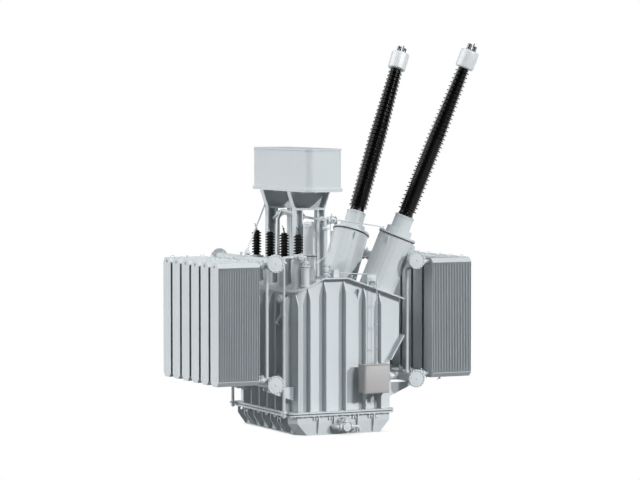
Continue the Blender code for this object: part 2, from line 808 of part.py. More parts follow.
# Supports: a flared head on two legs whose feet follow the roof, each a web between edge plates
def supports():
    top = CONS_LOW - GAP
    head = HEAD_W / 2
    neck = NECK_W / 2
    leg = neck - LEG_W
    arch = NECK_Z - LEG_TOP
    half = [(head, top), (neck, NECK_Z), (neck, DEEP), (leg, DEEP), (leg, arch)]
    outline = [(SUP_X + x, z) for x, z in half] + [(SUP_X - x, z) for x, z in half[::-1]]
    wide = head - SUP_PLATE
    slim = neck - SUP_PLATE
    roof = top - SUP_PLATE / 2
    sill = NECK_Z + SUP_PLATE / 2
    hollow = [(SUP_X + x, z) for x, z in ((wide, roof), (slim, sill), (-slim, sill), (-wide, roof))]
    for side, word in ((-1, "front"), (1, "rear")):
        y = side * SUP_Y
        front = y - SUP_D / 2
        web = y + SUP_D / 2 - SUP_PLATE
        item = plate(f"conservator_support_{word}", outline, front, y + SUP_D / 2, "Y", GREY)
        cuts = [roof_tool, plate("hollow", hollow, front - SUNK, web, "Y")]
        for end in (-1, 1):
            near = SUP_X + end * (leg + SUP_PLATE)
            far = SUP_X + end * slim
            cuts.append(box_between("channel", near, far, (front - SUNK, web), (DEEP - SUNK, arch)))
        finish(item, cut=cuts)


# Sheds: a saw-tooth edge down a core that may taper, listed from the top down
def sheds(count, top, low, core, tip):
    line = []
    pitch = (top - low) / count
    for i in range(count):
        z = top - i * pitch
        share = (i + 0.5) / count
        root = core[0] + share * (core[1] - core[0])
        edge = tip[0] + share * (tip[1] - tip[0])
        line.append((root, z - pitch * SHED_HIGH))
        line.append((edge, z - pitch * SHED_LOW))
    return line


# High-voltage turrets, bushings and end caps
def high_voltage():
    for side, word in ((-1, "front"), (1, "rear")):
        lean = Vector((LEAN_X, side * LEAN_Y, 1))
        base = Vector((TURRET_X, side * TURRET_Y, TURRET_Z))
        profile = [
            (NECK_R, BUSH_LOW - GAP), (NECK_R, DISC_T), (DISC_R, DISC_T), (DISC_R, 0), (TURRET_RIM_R, 0),
            (TURRET_RIM_R, -TURRET_RIM_T), (TURRET_R, -TURRET_RIM_T), (TURRET_R, -TURRET_DOWN),
        ]
        item = turned(f"hv_turret_{word}", profile, base, lean, COARSE, GREY)
        finish(item, cut=[roof_tool])
        foot = BUSH_LOW + BUSH_FOOT_T
        profile = [(CORE_TOP_R, CAP_LOW - GAP)]
        profile += sheds(SHED_N, CAP_LOW, foot + BUSH_CONE, (CORE_TOP_R, CORE_R), (SHED_TOP_R, SHED_R))
        profile += [(CORE_R, foot + BUSH_CONE), (BUSH_FOOT_R, foot), (BUSH_FOOT_R, BUSH_LOW)]
        bake(turned(f"hv_bushing_{word}", profile, base, lean, FINE, BLACK))
        stud = CAP_HIGH + STUD_HIGH
        profile = [
            (EYE_R, CAP_HIGH + EYE_HIGH), (EYE_R, stud), (STUD_R, stud), (STUD_R, CAP_HIGH),
            (CAP_R - CAP_EDGE, CAP_HIGH), (CAP_R, CAP_HIGH - CAP_EDGE),
            (CAP_R, CAP_LOW + CAP_EDGE), (CAP_R - CAP_EDGE, CAP_LOW),
        ]
        bake(turned(f"hv_cap_{word}", profile, base, lean, COARSE, SILVER))


# Low-voltage drums and bushings
def low_voltage():
    for i in range(LV_N):
        y = (i - (LV_N - 1) / 2) * LV_PITCH
        base = (LV_X, y, 0)
        top = LV_DRUM_TOP
        rim = top - LV_RIM_T
        profile = [(LV_RIM_R, top), (LV_RIM_R, rim), (LV_DRUM_R, rim), (LV_DRUM_R, DEEP)]
        item = turned(f"lv_turret_{i + 1}", profile, base, (0, 0, 1), COARSE, GREY)
        finish(item, [ring_plate(LV_X, y, RING_R)], [roof_tool])
        foot = top + LV_FOOT_T
        low = foot + LV_CONE
        profile = [(LV_STUD_R, LV_TOP + LV_STUD), (LV_STUD_R, LV_TOP), (LV_CORE_R, LV_TOP)]
        profile += sheds(LV_SHED_N, LV_TOP, low, (LV_CORE_R, LV_CORE_R), (LV_SHED_R, LV_SHED_R))
        profile += [(LV_CORE_R, low), (LV_FOOT_R, foot), (LV_FOOT_R, top + GAP)]
        bake(turned(f"lv_bushing_{i + 1}", profile, base, (0, 0, 1), FINE, BLACK))


# Column and small drum on the roof
def column():
    profile = [
        (COL_R - COL_EDGE, COL_TOP), (COL_R, COL_TOP - COL_EDGE), (COL_R, SLEEVE_TOP),
        (SLEEVE_R, SLEEVE_TOP), (SLEEVE_R, DEEP),
    ]
    item = turned("relief_column", profile, (COL_X, COL_Y, 0), (0, 0, 1), COARSE, GREY)
    finish(item, [ring_plate(COL_X, COL_Y, RING_R)], [roof_tool])
    rim = DRUM_TOP - DRUM_RIM_T
    profile = [(DRUM_RIM_R, DRUM_TOP), (DRUM_RIM_R, rim), (DRUM_R, rim), (DRUM_R, DEEP)]
    item = turned("neutral_turret", profile, (DRUM_X, DRUM_Y, 0), (0, 0, 1), MIDDLE, GREY)
    finish(item, cut=[roof_tool])


# Relay pipe through the supports, gas relay at its elbow, vent and breather pipes
def relay():
    elbow = (RELAY_X, RELAY_Y, RELAY_Z)
    points = [
        (RELAY_HIGH_X, RELAY_HIGH_Y, CONS_LOW - GAP), (RELAY_HIGH_X, RELAY_HIGH_Y, RELAY_HIGH_Z),
        elbow, (RELAY_X, RELAY_Y, DEEP),
    ]
    finish(pipe("relay_pipe", points, RELAY_PIPE_R, GREY), cut=[roof_tool])
    start = RELAY_X + RELAY_PIPE_R + GAP
    length = RELAY_L
    profile = [
        (RELAY_COLLAR_R, length), (RELAY_COLLAR_R, length - RELAY_COLLAR_T),
        (RELAY_R, length - RELAY_COLLAR_T),
        (RELAY_R, RELAY_COLLAR_T), (RELAY_COLLAR_R, RELAY_COLLAR_T), (RELAY_COLLAR_R, 0),
    ]
    item = turned("gas_relay", profile, (start, RELAY_Y, RELAY_Z), (1, 0, 0), MIDDLE, GREY)
    bake(item)
    lean = Vector((LEAN_X, -LEAN_Y, 1)).normalized()
    rim = Vector((TURRET_X, -TURRET_Y, TURRET_Z))
    across = Vector((-lean.z, 0, lean.x)).normalized()
    seat = rim + across * (TURRET_RIM_R - VENT_SEAT_IN) + lean * GAP
    body = Vector((start + length + GAP, RELAY_Y, RELAY_Z))
    points = [body, body + Vector((VENT_RUN, 0, 0)), seat + lean * VENT_HIGH, seat]
    bake(pipe("vent_pipe", points, VENT_R, GREY))


def breather():
    top = HEAD_HIGH + HEAD_R + GAP
    bend = top + BREATHER_BEND_H
    points = [
        (BREATHER_X, BREATHER_Y, CONS_LOW - GAP), (BREATHER_X, BREATHER_Y, BREATHER_BEND_Z),
        (-HEAD_X, BREATHER_LOW_Y, bend), (-HEAD_X, BREATHER_LOW_Y, top + BREATHER_R),
    ]
    item = pipe("breather_pipe", points, BREATHER_R, GREY)
    foot = Vector((-HEAD_X, BREATHER_LOW_Y, top))
    body = rod("valve", foot, foot + Vector((0, 0, BREATHER_VALVE_H)), BREATHER_VALVE_R, FINE)
    finish(item, [body])


# Control cabinet on the front ribs, its conduit over the roof edge to a small box
def cabinet():
    back = -RIB_EDGE_Y - GAP
    half = CAB_W / 2
    low = (CAB_X - half, back - CAB_D, CAB_LOW)
    item = box("control_cabinet", low, (CAB_X + half, back, CAB_HIGH), TAUPE)
    edge = item.modifiers.new("edge", "BEVEL")
    edge.width = CAB_EDGE
    edge.segments = 2
    bake(item)
    y = back - CONDUIT_OUT
    side = BOX_X + BOX_SIZE / 2 - CONDUIT_R / 2
    z = BOX_HIGH - BOX_SIZE / 2
    points = [(CONDUIT_X, y, CAB_HIGH + GAP), (CONDUIT_X, y, CONDUIT_TOP), (side, BOX_Y, z)]
    item = pipe("cabinet_conduit", points, CONDUIT_R, GREY)
    half = BOX_SIZE / 2
    junction = box("junction", (BOX_X - half, BOX_Y - half, DEEP), (BOX_X + half, BOX_Y + half, BOX_HIGH))
    finish(junction, cut=[roof_tool])
    finish(item, [junction])


# Drain valve on the front of the tray, its root cut to the tray's slope
def drain_valve():
    start = Vector((VALVE_X, SUNK - TRAY_HALF_Y, VALVE_Z))
    low = VALVE_L - VALVE_COLLAR_T
    profile = [(VALVE_COLLAR_R, VALVE_L), (VALVE_COLLAR_R, low), (VALVE_R, low), (VALVE_R, 0)]
    item = turned("drain_valve", profile, start, (0, -1, 0), MIDDLE, GREY)
    bake(item)
    root = start - Vector((0, SPOUT_Y, 0))
    end = root + Vector((SPOUT_L, 0, 0))
    spout = rod("spout", root, end, SPOUT_R, FINE)
    flange = rod("flange", end - Vector((VALVE_COLLAR_T, 0, 0)), end, SPOUT_FLANGE_R, MIDDLE)
    foot = -TRAY_FOOT_Y - GAP
    knee = -TRAY_HALF_Y - GAP
    back = SUNK * 3 - TRAY_FOOT_Y
    nose = [(back, 0.0), (foot, 0.0), (knee, TRAY_KNEE_Z), (knee, FLANGE_Z), (back, FLANGE_Z)]
    cut = plate("nose", nose, VALVE_X - VALVE_L, VALVE_X + VALVE_L, "X")
    return finish(item, [spout, flange], [cut])


base_tray()
tank()
cover()
radiators()
headers()
oil_pipes()
conservator()
supports()
high_voltage()
low_voltage()
column()
relay()
breather()
cabinet()
drain_valve()
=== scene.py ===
"""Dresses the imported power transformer: camera, light, finishes and the small pieces.
Metres, Z up, the origin on the ground under the tank, -Y towards the control cabinet.
"""
import math

import bmesh
import bpy
from mathutils import Matrix, Vector


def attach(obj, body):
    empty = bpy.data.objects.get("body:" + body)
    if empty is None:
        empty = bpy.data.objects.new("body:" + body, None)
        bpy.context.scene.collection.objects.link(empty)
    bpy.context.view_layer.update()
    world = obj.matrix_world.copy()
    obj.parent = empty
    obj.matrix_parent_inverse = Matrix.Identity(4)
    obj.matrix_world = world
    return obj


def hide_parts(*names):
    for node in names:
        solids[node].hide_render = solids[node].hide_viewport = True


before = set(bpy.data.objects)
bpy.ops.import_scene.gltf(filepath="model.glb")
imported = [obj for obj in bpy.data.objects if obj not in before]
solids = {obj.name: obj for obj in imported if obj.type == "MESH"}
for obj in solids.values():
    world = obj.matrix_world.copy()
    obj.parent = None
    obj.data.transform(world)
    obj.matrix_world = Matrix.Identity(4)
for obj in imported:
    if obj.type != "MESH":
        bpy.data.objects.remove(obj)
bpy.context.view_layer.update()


# Studio: a near-white seamless floor under a low key light from the front right, a softer
# one from the front, a wide one overhead and a fill from behind on the left. The camera is a
# long lens some eighty metres away, a little above the roof's height.
def linear(colour):
    """An sRGB hex colour as linear red, green, blue and alpha."""
    parts = [int(colour[i:i + 2], 16) / 255 for i in (0, 2, 4)]
    parts = [c / 12.92 if c <= 0.04045 else ((c + 0.055) / 1.055) ** 2.4 for c in parts]
    return (*parts, 1.0)


def node(tree, kind, props=(), values=(), links=()):
    """Adds a node with its properties, its sockets' values and its links."""
    item = tree.nodes.new("ShaderNode" + kind)
    for key, value in dict(props).items():
        setattr(item, key, value)
    for key, value in dict(values).items():
        item.inputs[key].default_value = value
    for key, source in dict(links).items():
        tree.links.new(source, item.inputs[key])
    return item


def finish_of(name):
    """A new material, its shader, its node tree and the point it is seen at."""
    material = bpy.data.materials.new(name)
    material.use_nodes = True
    tree = material.node_tree
    spot = tree.nodes.new("ShaderNodeTexCoord").outputs["Object"]
    return material, tree.nodes["Principled BSDF"], tree, spot


def two_tone(name, kind, values, dark, light, props=()):
    """A finish whose colour wanders between two tones, and the texture's field it follows."""
    material, shader, tree, spot = finish_of(name)
    field = node(tree, kind, props, values, {"Vector": spot}).outputs[0]
    tone = node(tree, "Mix", {"data_type": "RGBA"}, {6: linear(dark), 7: linear(light)}, {0: field})
    tree.links.new(tone.outputs[2], shader.inputs["Base Color"])
    return material, shader, tree, field, spot


camera_data = bpy.data.cameras.new("long_lens")
camera_data.lens = 165.27
camera_data.sensor_width = 36
camera_data.clip_start = 1
camera_data.clip_end = 900
camera = bpy.data.objects.new("camera", camera_data)
camera.location = (-35.0989, -73.3142, 9.1749)
camera.rotation_euler = (math.radians(90 - 2.795), 0, math.radians(-25.715))
bpy.context.scene.collection.objects.link(camera)
bpy.context.scene.camera = camera
bpy.context.scene.view_settings.view_transform = "Standard"

for name, travel, strength, spread in (
    ("key_light", (-0.62, 1.0, -0.50), 2.05, 1.2),
    ("front_light", (-0.15, 1.0, -0.55), 1.45, 9.0),
    ("overhead_light", (0.05, 0.12, -1.0), 0.75, 60.0),
    ("fill_light", (0.90, -0.35, -0.45), 3.1, 60.0),
):
    lamp = bpy.data.lights.new(name, "SUN")
    lamp.energy = strength
    lamp.angle = math.radians(spread)
    item = bpy.data.objects.new(name, lamp)
    item.rotation_euler = Vector(travel).to_track_quat("-Z", "Y").to_euler()
    bpy.context.scene.collection.objects.link(item)

world = bpy.data.worlds.new("studio_air")
bpy.context.scene.world = world
world.use_nodes = True
air = world.node_tree
air.nodes.clear()
seen = node(air, "LightPath").outputs["Is Camera Ray"]
soft = node(air, "Background", values={"Color": linear("E6EEF8"), "Strength": 0.13})
white = node(air, "Background", values={"Color": linear("FFFFFF"), "Strength": 1.0})
both = node(air, "MixShader", links={0: seen, 1: soft.outputs[0], 2: white.outputs[0]})
node(air, "OutputWorld", links={"Surface": both.outputs[0]})

# Painted screed: matt, near white, with a faint cloudiness a metre or two across
screed, shader, tree, *_ = two_tone(
    "painted_screed_rolled", "TexNoise", {"Scale": 0.6, "Detail": 3.0}, "F6F7F8", "FBFBFC"
)
shader.inputs["Roughness"].default_value = 0.85
shader.inputs["Emission Color"].default_value = linear("FFFFFF")
shader.inputs["Emission Strength"].default_value = 0.6
bm = bmesh.new()
bmesh.ops.create_circle(bm, cap_ends=True, segments=96, radius=320)
mesh = bpy.data.meshes.new("studio_floor")
bm.to_mesh(mesh)
bm.free()
mesh.materials.append(screed)
# Lit as it is, the floor would burn out and eat the thin parts seen against it, so the eye is
# given plain white, with a painted contact shadow greying it within a third of a metre of what
# stands on it
near = node(tree, "AmbientOcclusion", {"samples": 8}, {"Distance": 0.35}).outputs["AO"]
painted_contact_shadow = node(tree, "MapRange", values={1: 0.0, 2: 0.8, 3: 0.70, 4: 1.0}, links={0: near}).outputs[0]
white_with_painted_shadow = node(tree, "Emission", links={"Strength": painted_contact_shadow}).outputs[0]
seen = node(tree, "LightPath").outputs["Is Camera Ray"]
both = node(tree, "MixShader", links={0: seen, 1: shader.outputs[0], 2: white_with_painted_shadow}).outputs[0]
tree.links.new(both, tree.nodes["Material Output"].inputs["Surface"])
floor = bpy.data.objects.new("studio_floor", mesh)
bpy.context.scene.collection.objects.link(floor)
floor.visible_diffuse = False


# Base tray: welded steel plate, a shallow hull open between its side gussets, sprayed
# light grey. The bell tank is bolted down on its flange over a cork-rubber gasket.
def coat(name, clean, worn, dust, gloss):
    """Two-pack polyurethane sprayed on blasted steel: an even satin grey that shows the
    plate's slight waviness in its highlights, dust on what lies flat, and faint rain streaks."""
    material, shader, tree, spot = finish_of(name)
    shape = tree.nodes.new("ShaderNodeNewGeometry")
    up = node(tree, "SeparateXYZ", links={0: shape.outputs["Normal"]}).outputs[2]
    high = node(tree, "SeparateXYZ", links={0: spot}).outputs[2]
    patch = node(tree, "TexNoise", values={"Scale": 0.9, "Detail": 3.0}, links={"Vector": spot})
    tone = node(
        tree, "Mix", {"data_type": "RGBA"}, {6: linear(clean), 7: linear(worn)},
        {0: patch.outputs[0]},
    )
    # Streaks are 40 to 80 mm wide and a metre or more long
    drawn = node(tree, "Mapping", values={"Scale": (11, 11, 0.7)}, links={0: spot})
    streak = node(
        tree, "TexNoise", values={"Scale": 1.0, "Detail": 4.0}, links={"Vector": drawn.outputs[0]}
    )
    run = node(
        tree, "MapRange", values={1: 0.55, 2: 0.80, 3: 0.0, 4: 0.22}, links={0: streak.outputs[0]}
    )
    tone = node(
        tree, "Mix", {"data_type": "RGBA"}, {7: linear(worn)},
        {0: run.outputs[0], 6: tone.outputs[2]},
    )
    grit = node(tree, "TexNoise", values={"Scale": 5.0, "Detail": 6.0}, links={"Vector": spot})
    flat = node(tree, "MapRange", values={1: 0.55, 2: 0.95, 3: 0.0, 4: 0.45}, links={0: up})
    foot = node(tree, "MapRange", values={1: 0.55, 2: 0.02, 3: 0.0, 4: 0.35}, links={0: high})
    lies = node(
        tree, "Math", {"operation": "MAXIMUM"}, links={0: flat.outputs[0], 1: foot.outputs[0]}
    )
    lies = node(
        tree, "Math", {"operation": "MULTIPLY"}, links={0: lies.outputs[0], 1: grit.outputs[0]}
    )
    tone = node(
        tree, "Mix", {"data_type": "RGBA"}, {7: linear(dust)},
        {0: lies.outputs[0], 6: tone.outputs[2]},
    )
    tree.links.new(tone.outputs[2], shader.inputs["Base Color"])
    sheen = node(
        tree, "MapRange", values={1: 0.3, 2: 0.7, 3: gloss - 0.05, 4: gloss + 0.07},
        links={0: grit.outputs[0]},
    )
    tree.links.new(sheen.outputs[0], shader.inputs["Roughness"])
    # Orange peel is 2 to 3 mm across on the real coat, and drawn at 9 mm to show at all
    peel = node(tree, "TexNoise", values={"Scale": 110.0, "Detail": 2.0}, links={"Vector": spot})
    skin = node(
        tree, "Bump", values={"Strength": 0.10, "Distance": 0.001},
        links={"Height": peel.outputs[0]},
    )
    wave = node(tree, "TexNoise", values={"Scale": 2.6, "Detail": 1.0}, links={"Vector": spot})
    sheet = node(
        tree, "Bump", values={"Strength": 0.16, "Distance": 0.02},
        links={"Height": wave.outputs[0], "Normal": skin.outputs[0]},
    )
    tree.links.new(sheet.outputs[0], shader.inputs["Normal"])
    shader.inputs["IOR"].default_value = 1.5
    return material


enamel = coat("grey_polyurethane_sprayed", "C5CBCD", "BCC3C6", "BBBDBB", 0.42)
for item in solids.values():
    for place in item.material_slots:
        place.material = enamel

# Cork-rubber gasket strip: dark, matt and speckled with cork grains of 1 to 2 mm, drawn at 6 mm
gasket_rubber, shader, *_ = two_tone(
    "cork_rubber_moulded", "TexVoronoi", {"Scale": 160.0}, "3A3A38", "5A544C"
)
shader.inputs["Roughness"].default_value = 0.8

# Zinc-plated bolts: pale, slightly cloudy grey metal
zinc, shader, tree, cloud, _ = two_tone(
    "zinc_plated_steel", "TexNoise", {"Scale": 45.0, "Detail": 3.0}, "C9CDD1", "E2E4E6"
)
dull = node(tree, "MapRange", values={3: 0.30, 4: 0.45}, links={0: cloud})
tree.links.new(dull.outputs[0], shader.inputs["Roughness"])
shader.inputs["Metallic"].default_value = 0.85


def aim(spot, way=(0, 0, 1), turn=0.0):
    """A place at a spot whose Z points a way, turned about it."""
    lean = Vector(way).to_track_quat("Z", "Y").to_matrix().to_4x4()
    return Matrix.Translation(spot) @ lean @ Matrix.Rotation(turn, 4, "Z")


def on_circle(radius, share, height=0.0):
    """The point at a share of a full turn round Z."""
    turn = math.tau * share
    return Vector((radius * math.cos(turn), radius * math.sin(turn), height))


def turned(bm, profile, place, steps=24):
    """Turns (radius, height) pairs, listed from the foot up, round the Z of a place."""
    rings = []
    for radius, height in profile:
        if radius < 1e-6:
            rings.append([bm.verts.new(place @ Vector((0, 0, height)))])
            continue
        spots = [on_circle(radius, i / steps, height) for i in range(steps)]
        rings.append([bm.verts.new(place @ spot) for spot in spots])
    for low, high in zip(rings, rings[1:]):
        for i in range(steps):
            j = (i + 1) % steps
            if len(low) == 1:
                bm.faces.new((low[0], high[j], high[i]))
            elif len(high) == 1:
                bm.faces.new((low[i], low[j], high[0]))
            else:
                bm.faces.new((low[i], low[j], high[j], high[i]))


def bolt(bm, size, place):
    """A hexagon head of that thread size on its washer."""
    turned(bm, [(0, 0), (0.95 * size, 0), (0.95 * size, 0.15 * size), (0, 0.15 * size)], place, 12)
    head = [(0, 0.15), (0.87, 0.15), (0.87, 0.72), (0.76, 0.80), (0, 0.80)]
    turned(bm, [(r * size, h * size) for r, h in head], place, 6)


def piece(name, bm, material, replaces=()):
    """Makes the mesh an object with that finish, fixed to the transformer."""
    bmesh.ops.recalc_face_normals(bm, faces=bm.faces[:])
    mesh = bpy.data.meshes.new(name)
    bm.to_mesh(mesh)
    bm.free()
    mesh.materials.append(material)
    mesh.shade_smooth()
    mesh.set_sharp_from_angle(angle=math.radians(35))
    item = bpy.data.objects.new(name, mesh)
    bpy.context.scene.collection.objects.link(item)
    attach(item, "root")
    if replaces:
        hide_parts(*replaces)
    return item


FLANGE_X = 1.60
FLANGE_Y = 1.911
FLANGE_LOW = 0.53
FLANGE_CORNERS = (0.108, 0.108, 0.18, 0.18)
TANK_FLANGE_TOP = 0.6354
GASKET_LOW = 0.5702
GASKET_TOP = 0.5953
GASKET_OUT = 0.030
GASKET_IN = 0.051


def rounded_line(half_x, half_y, radii, steps):
    """A rectangle's rounded outline: its corners back right, back left, front left, front right."""
    line = []
    for k, (sx, sy) in enumerate(((1, 1), (-1, 1), (-1, -1), (1, -1))):
        r = radii[k]
        for i in range(steps + 1):
            arc = on_circle(r, (k + i / steps) / 4)
            line.append((sx * (half_x - r) + arc.x, sy * (half_y - r) + arc.y))
    return line


bm = bmesh.new()
loops = []
for inset, z in (
    (GASKET_IN, GASKET_LOW), (GASKET_OUT, GASKET_LOW),
    (GASKET_OUT, GASKET_TOP), (GASKET_IN, GASKET_TOP),
):
    radii = [r - inset / 2 for r in FLANGE_CORNERS]
    line = rounded_line(FLANGE_X - inset, FLANGE_Y - inset, radii, 6)
    loops.append([bm.verts.new((x, y, z)) for x, y in line])
for a, b in zip(loops, loops[1:] + loops[:1]):
    for i in range(len(a)):
        j = (i + 1) % len(a)
        bm.faces.new((a[i], a[j], b[j], b[i]))
piece("tray_gasket", bm, gasket_rubber)


def spread(marks, low, high, pitch, clear):
    """Evenly spaced places between marks on a run, keeping clear of each mark."""
    found = []
    stops = [low] + sorted(m for m in marks if low < m < high) + [high]
    for a, b in zip(stops, stops[1:]):
        room = b - a - 2 * clear
        count = max(1, round(room / pitch))
        found += [a + clear + room * (i + 0.5) / count for i in range(count)] if room > 0.03 else []
    return found


# M24 bolts all round the flange, between the ribs that stand on it
END_RIBS = (-1.335, -0.971, -0.497, 0.098, 0.701, 1.172)
SIDE_RIBS = (-1.410, -0.880, -0.350, 0.180, 0.710, 1.240)
FLANGE_BOLT = 0.024
BOLT_IN = 0.024
BOLT_PITCH = 0.15
BOLT_CLEAR = 0.035
CORNER_BOLT_IN = 0.075
spots = []
for side in (-1, 1):
    end_y = side * (FLANGE_Y - BOLT_IN)
    side_x = side * (FLANGE_X - BOLT_IN)
    spots += [(x, end_y) for x in spread(END_RIBS, -1.34, 1.34, BOLT_PITCH, BOLT_CLEAR)]
    spots += [(side_x, y) for y in spread(SIDE_RIBS, -1.70, 1.76, BOLT_PITCH, BOLT_CLEAR)]
    spots.append((side * (FLANGE_X - CORNER_BOLT_IN), CORNER_BOLT_IN - FLANGE_Y))
bm = bmesh.new()
for x, y in spots:
    bolt(bm, FLANGE_BOLT, aim((x, y, TANK_FLANGE_TOP), turn=x + y))
    bolt(bm, FLANGE_BOLT, aim((x, y, FLANGE_LOW), (0, 0, -1), x - y))
piece("flange_bolts", bm, zinc)


def block(bm, size, place, edge=0.0):
    """A box of that size about a place, its edges rounded over."""
    made = bmesh.ops.create_cube(bm, size=1.0, matrix=place @ Matrix.Diagonal((*size, 1.0)))
    if edge:
        edges = list({e for v in made["verts"] for e in v.link_edges})
        bmesh.ops.bevel(bm, geom=edges, offset=edge, segments=2, affect="EDGES", profile=0.5)


# An earthing pad on each end wall and two jacking pads beside each of its gussets, bolted on
END_GUSSETS = (-0.726, -0.261, 0.456, 0.945)
bm = bmesh.new()
studs = bmesh.new()
for side in (-1, 1):
    spot = Vector((1.05, side * 1.830, 0.43))
    block(bm, (0.09, 0.02, 0.07), Matrix.Translation(spot), 0.003)
    bolt(studs, 0.016, aim(spot + Vector((0, side * 0.010, 0)), (0, side, 0)))
for x in END_GUSSETS:
    for gap in (0.055, 0.135):
        for side in (-1, 1):
            spot = Vector((x - gap, side * 1.840, 0.445))
            block(bm, (0.045, 0.042, 0.09), Matrix.Translation(spot), 0.012)
            bolt(studs, 0.014, aim(spot + Vector((0, side * 0.021, 0.015)), (0, side, 0)))
piece("tray_pads", bm, enamel)
piece("tray_pad_bolts", studs, zinc)


# Tank: a bell of welded plate with flat-bar ribs, its roof plate folded twice. The seams
# are fillet welds under the same paint; a relief valve and lifting lugs are fixed to the walls.
WALL_Y = 1.69
WALL_LEFT = -1.36
WALL_RIGHT = 1.52


def sweep(bm, points, radius, steps=10, bend=0.0, closed=False):
    """A round bar along points, its corners eased to about that bend radius."""
    line = [Vector(p) for p in points]
    if bend:
        eased = [line[0]]
        for a, b, c in zip(line, line[1:], line[2:]):
            into, out = a - b, c - b
            cut = min(bend / math.tan(into.angle(out) / 2), into.length * 0.48, out.length * 0.48)
            start, end = b + into.normalized() * cut, b + out.normalized() * cut
            for k in range(6):
                t = k / 5
                eased.append(start * (1 - t) ** 2 + b * 2 * t * (1 - t) + end * t * t)
        line = eased + [line[-1]]
    count = len(line)
    side = None
    rings = []
    for i, spot in enumerate(line):
        if closed:
            ahead = line[(i + 1) % count] - line[i - 1]
        else:
            ahead = line[min(i + 1, count - 1)] - line[max(i - 1, 0)]
        ahead.normalize()
        side = side or ahead.orthogonal()
        side = (side - ahead * side.dot(ahead)).normalized()
        other = ahead.cross(side)
        ring = []
        for k in range(steps):
            a = math.tau * k / steps
            ring.append(bm.verts.new(spot + (side * math.cos(a) + other * math.sin(a)) * radius))
        rings.append(ring)
    pairs = list(zip(rings, rings[1:])) + ([(rings[-1], rings[0])] if closed else [])
    for a, b in pairs:
        for k in range(steps):
            j = (k + 1) % steps
            bm.faces.new((a[k], a[j], b[j], b[k]))
    if not closed:
        bm.faces.new(rings[0][::-1])
        bm.faces.new(rings[-1])


FOLD_LEFT = -0.55
FOLD_RIGHT = 0.16
RIDGE_Z = 4.264
FALL_LEFT = 0.4316
FALL_RIGHT = 0.3536


def roof_top(x):
    """The cover's top surface over a line across the tank."""
    if x < FOLD_LEFT:
        return RIDGE_Z - FALL_LEFT * (FOLD_LEFT - x)
    return RIDGE_Z - FALL_RIGHT * max(0.0, x - FOLD_RIGHT)


BEAD = 0.011
RIB_HALF = 0.015
FOOT_Z = 0.637
bm = bmesh.new()
for side in (-1, 1):
    for x in END_RIBS[1:]:
        for edge in (-RIB_HALF, RIB_HALF):
            top = roof_top(x) - 0.11
            sweep(bm, [(x + edge, side * WALL_Y, 0.64), (x + edge, side * WALL_Y, top)], BEAD, 6)
    wall = WALL_LEFT if side < 0 else WALL_RIGHT
    top = 3.80 if side < 0 else 2.05
    for y in SIDE_RIBS:
        for edge in (-RIB_HALF, RIB_HALF):
            sweep(bm, [(wall, y + edge, 0.64), (wall, y + edge, top)], BEAD, 6)
    sweep(bm, [(-1.06, side * WALL_Y, FOOT_Z), (WALL_RIGHT, side * WALL_Y, FOOT_Z)], BEAD, 6)
    line = [(x, side * WALL_Y, roof_top(x) - 0.037) for x in (-1.06, FOLD_LEFT, FOLD_RIGHT, 1.80)]
    sweep(bm, line, BEAD, 6)
sweep(bm, [(WALL_LEFT, -1.46, FOOT_Z), (WALL_LEFT, 1.46, FOOT_Z)], BEAD, 6)
sweep(bm, [(WALL_RIGHT, -WALL_Y, FOOT_Z), (WALL_RIGHT, WALL_Y, FOOT_Z)], BEAD, 6)
piece("tank_weld_beads", bm, enamel)


def bolt_ring(bm, size, count, radius, lift, place, start=0.5):
    """Bolts evenly round the Z of a place, the first one that share of a step past its X."""
    for i in range(count):
        bolt(bm, size, place @ Matrix.Translation(on_circle(radius, (i + start) / count, lift)))


# Relief valve on the left wall: a flanged square body with a domed cover, and its tilted spout
RELIEF = Vector((WALL_LEFT, -1.05, 3.66))
bm = bmesh.new()
studs = bmesh.new()
place = aim(RELIEF, (-1, 0, 0))
block(bm, (0.28, 0.28, 0.07), place @ Matrix.Translation((0, 0, 0.035)), 0.01)
turned(bm, [(0.13, 0.07), (0.13, 0.15), (0.115, 0.165), (0.06, 0.175), (0.06, 0.21), (0, 0.215)],
       place, 32)
bolt_ring(studs, 0.014, 6, 0.105, 0.162, place)
spout = RELIEF + Vector((-0.13, 0, -0.53))
lean = (0.62, 0, 0.78)
block(bm, (0.13, 0.13, 0.30), aim(spout, lean), 0.012)
block(bm, (0.16, 0.16, 0.02), aim(spout + Vector((-0.098, 0, -0.123)), lean), 0.004)
neck = [RELIEF + Vector((-0.08, 0, -0.10)), RELIEF + Vector((-0.08, 0, -0.36)), spout]
sweep(bm, neck, 0.055, 14, 0.10)
piece("relief_valve", bm, enamel)
piece("relief_valve_bolts", studs, zinc)


def slab(bm, outline, thick, place):
    """Thickens a flat outline in the XY of a place along its Z."""
    low = [bm.verts.new(place @ Vector((x, y, 0))) for x, y in outline]
    high = [bm.verts.new(place @ Vector((x, y, thick))) for x, y in outline]
    bm.faces.new(low[::-1])
    bm.faces.new(high)
    for i in range(len(low)):
        j = (i + 1) % len(low)
        bm.faces.new((low[i], low[j], high[j], high[i]))


# Lifting lugs: hooks of 25 mm plate, welded high on the end walls
bm = bmesh.new()
for side in (-1, 1):
    hook = [(0, 0.14), (0.10, 0.14), (0.13, 0.10), (0.13, 0.05), (0.06, 0.02), (0, -0.16)]
    spin = Matrix.Rotation(side * math.pi / 2, 4, "Z") @ Matrix.Rotation(math.pi / 2, 4, "X")
    slab(bm, hook, 0.025, Matrix.Translation((0.545, side * WALL_Y, 3.80)) @ spin)
piece("lifting_lugs", bm, enamel)


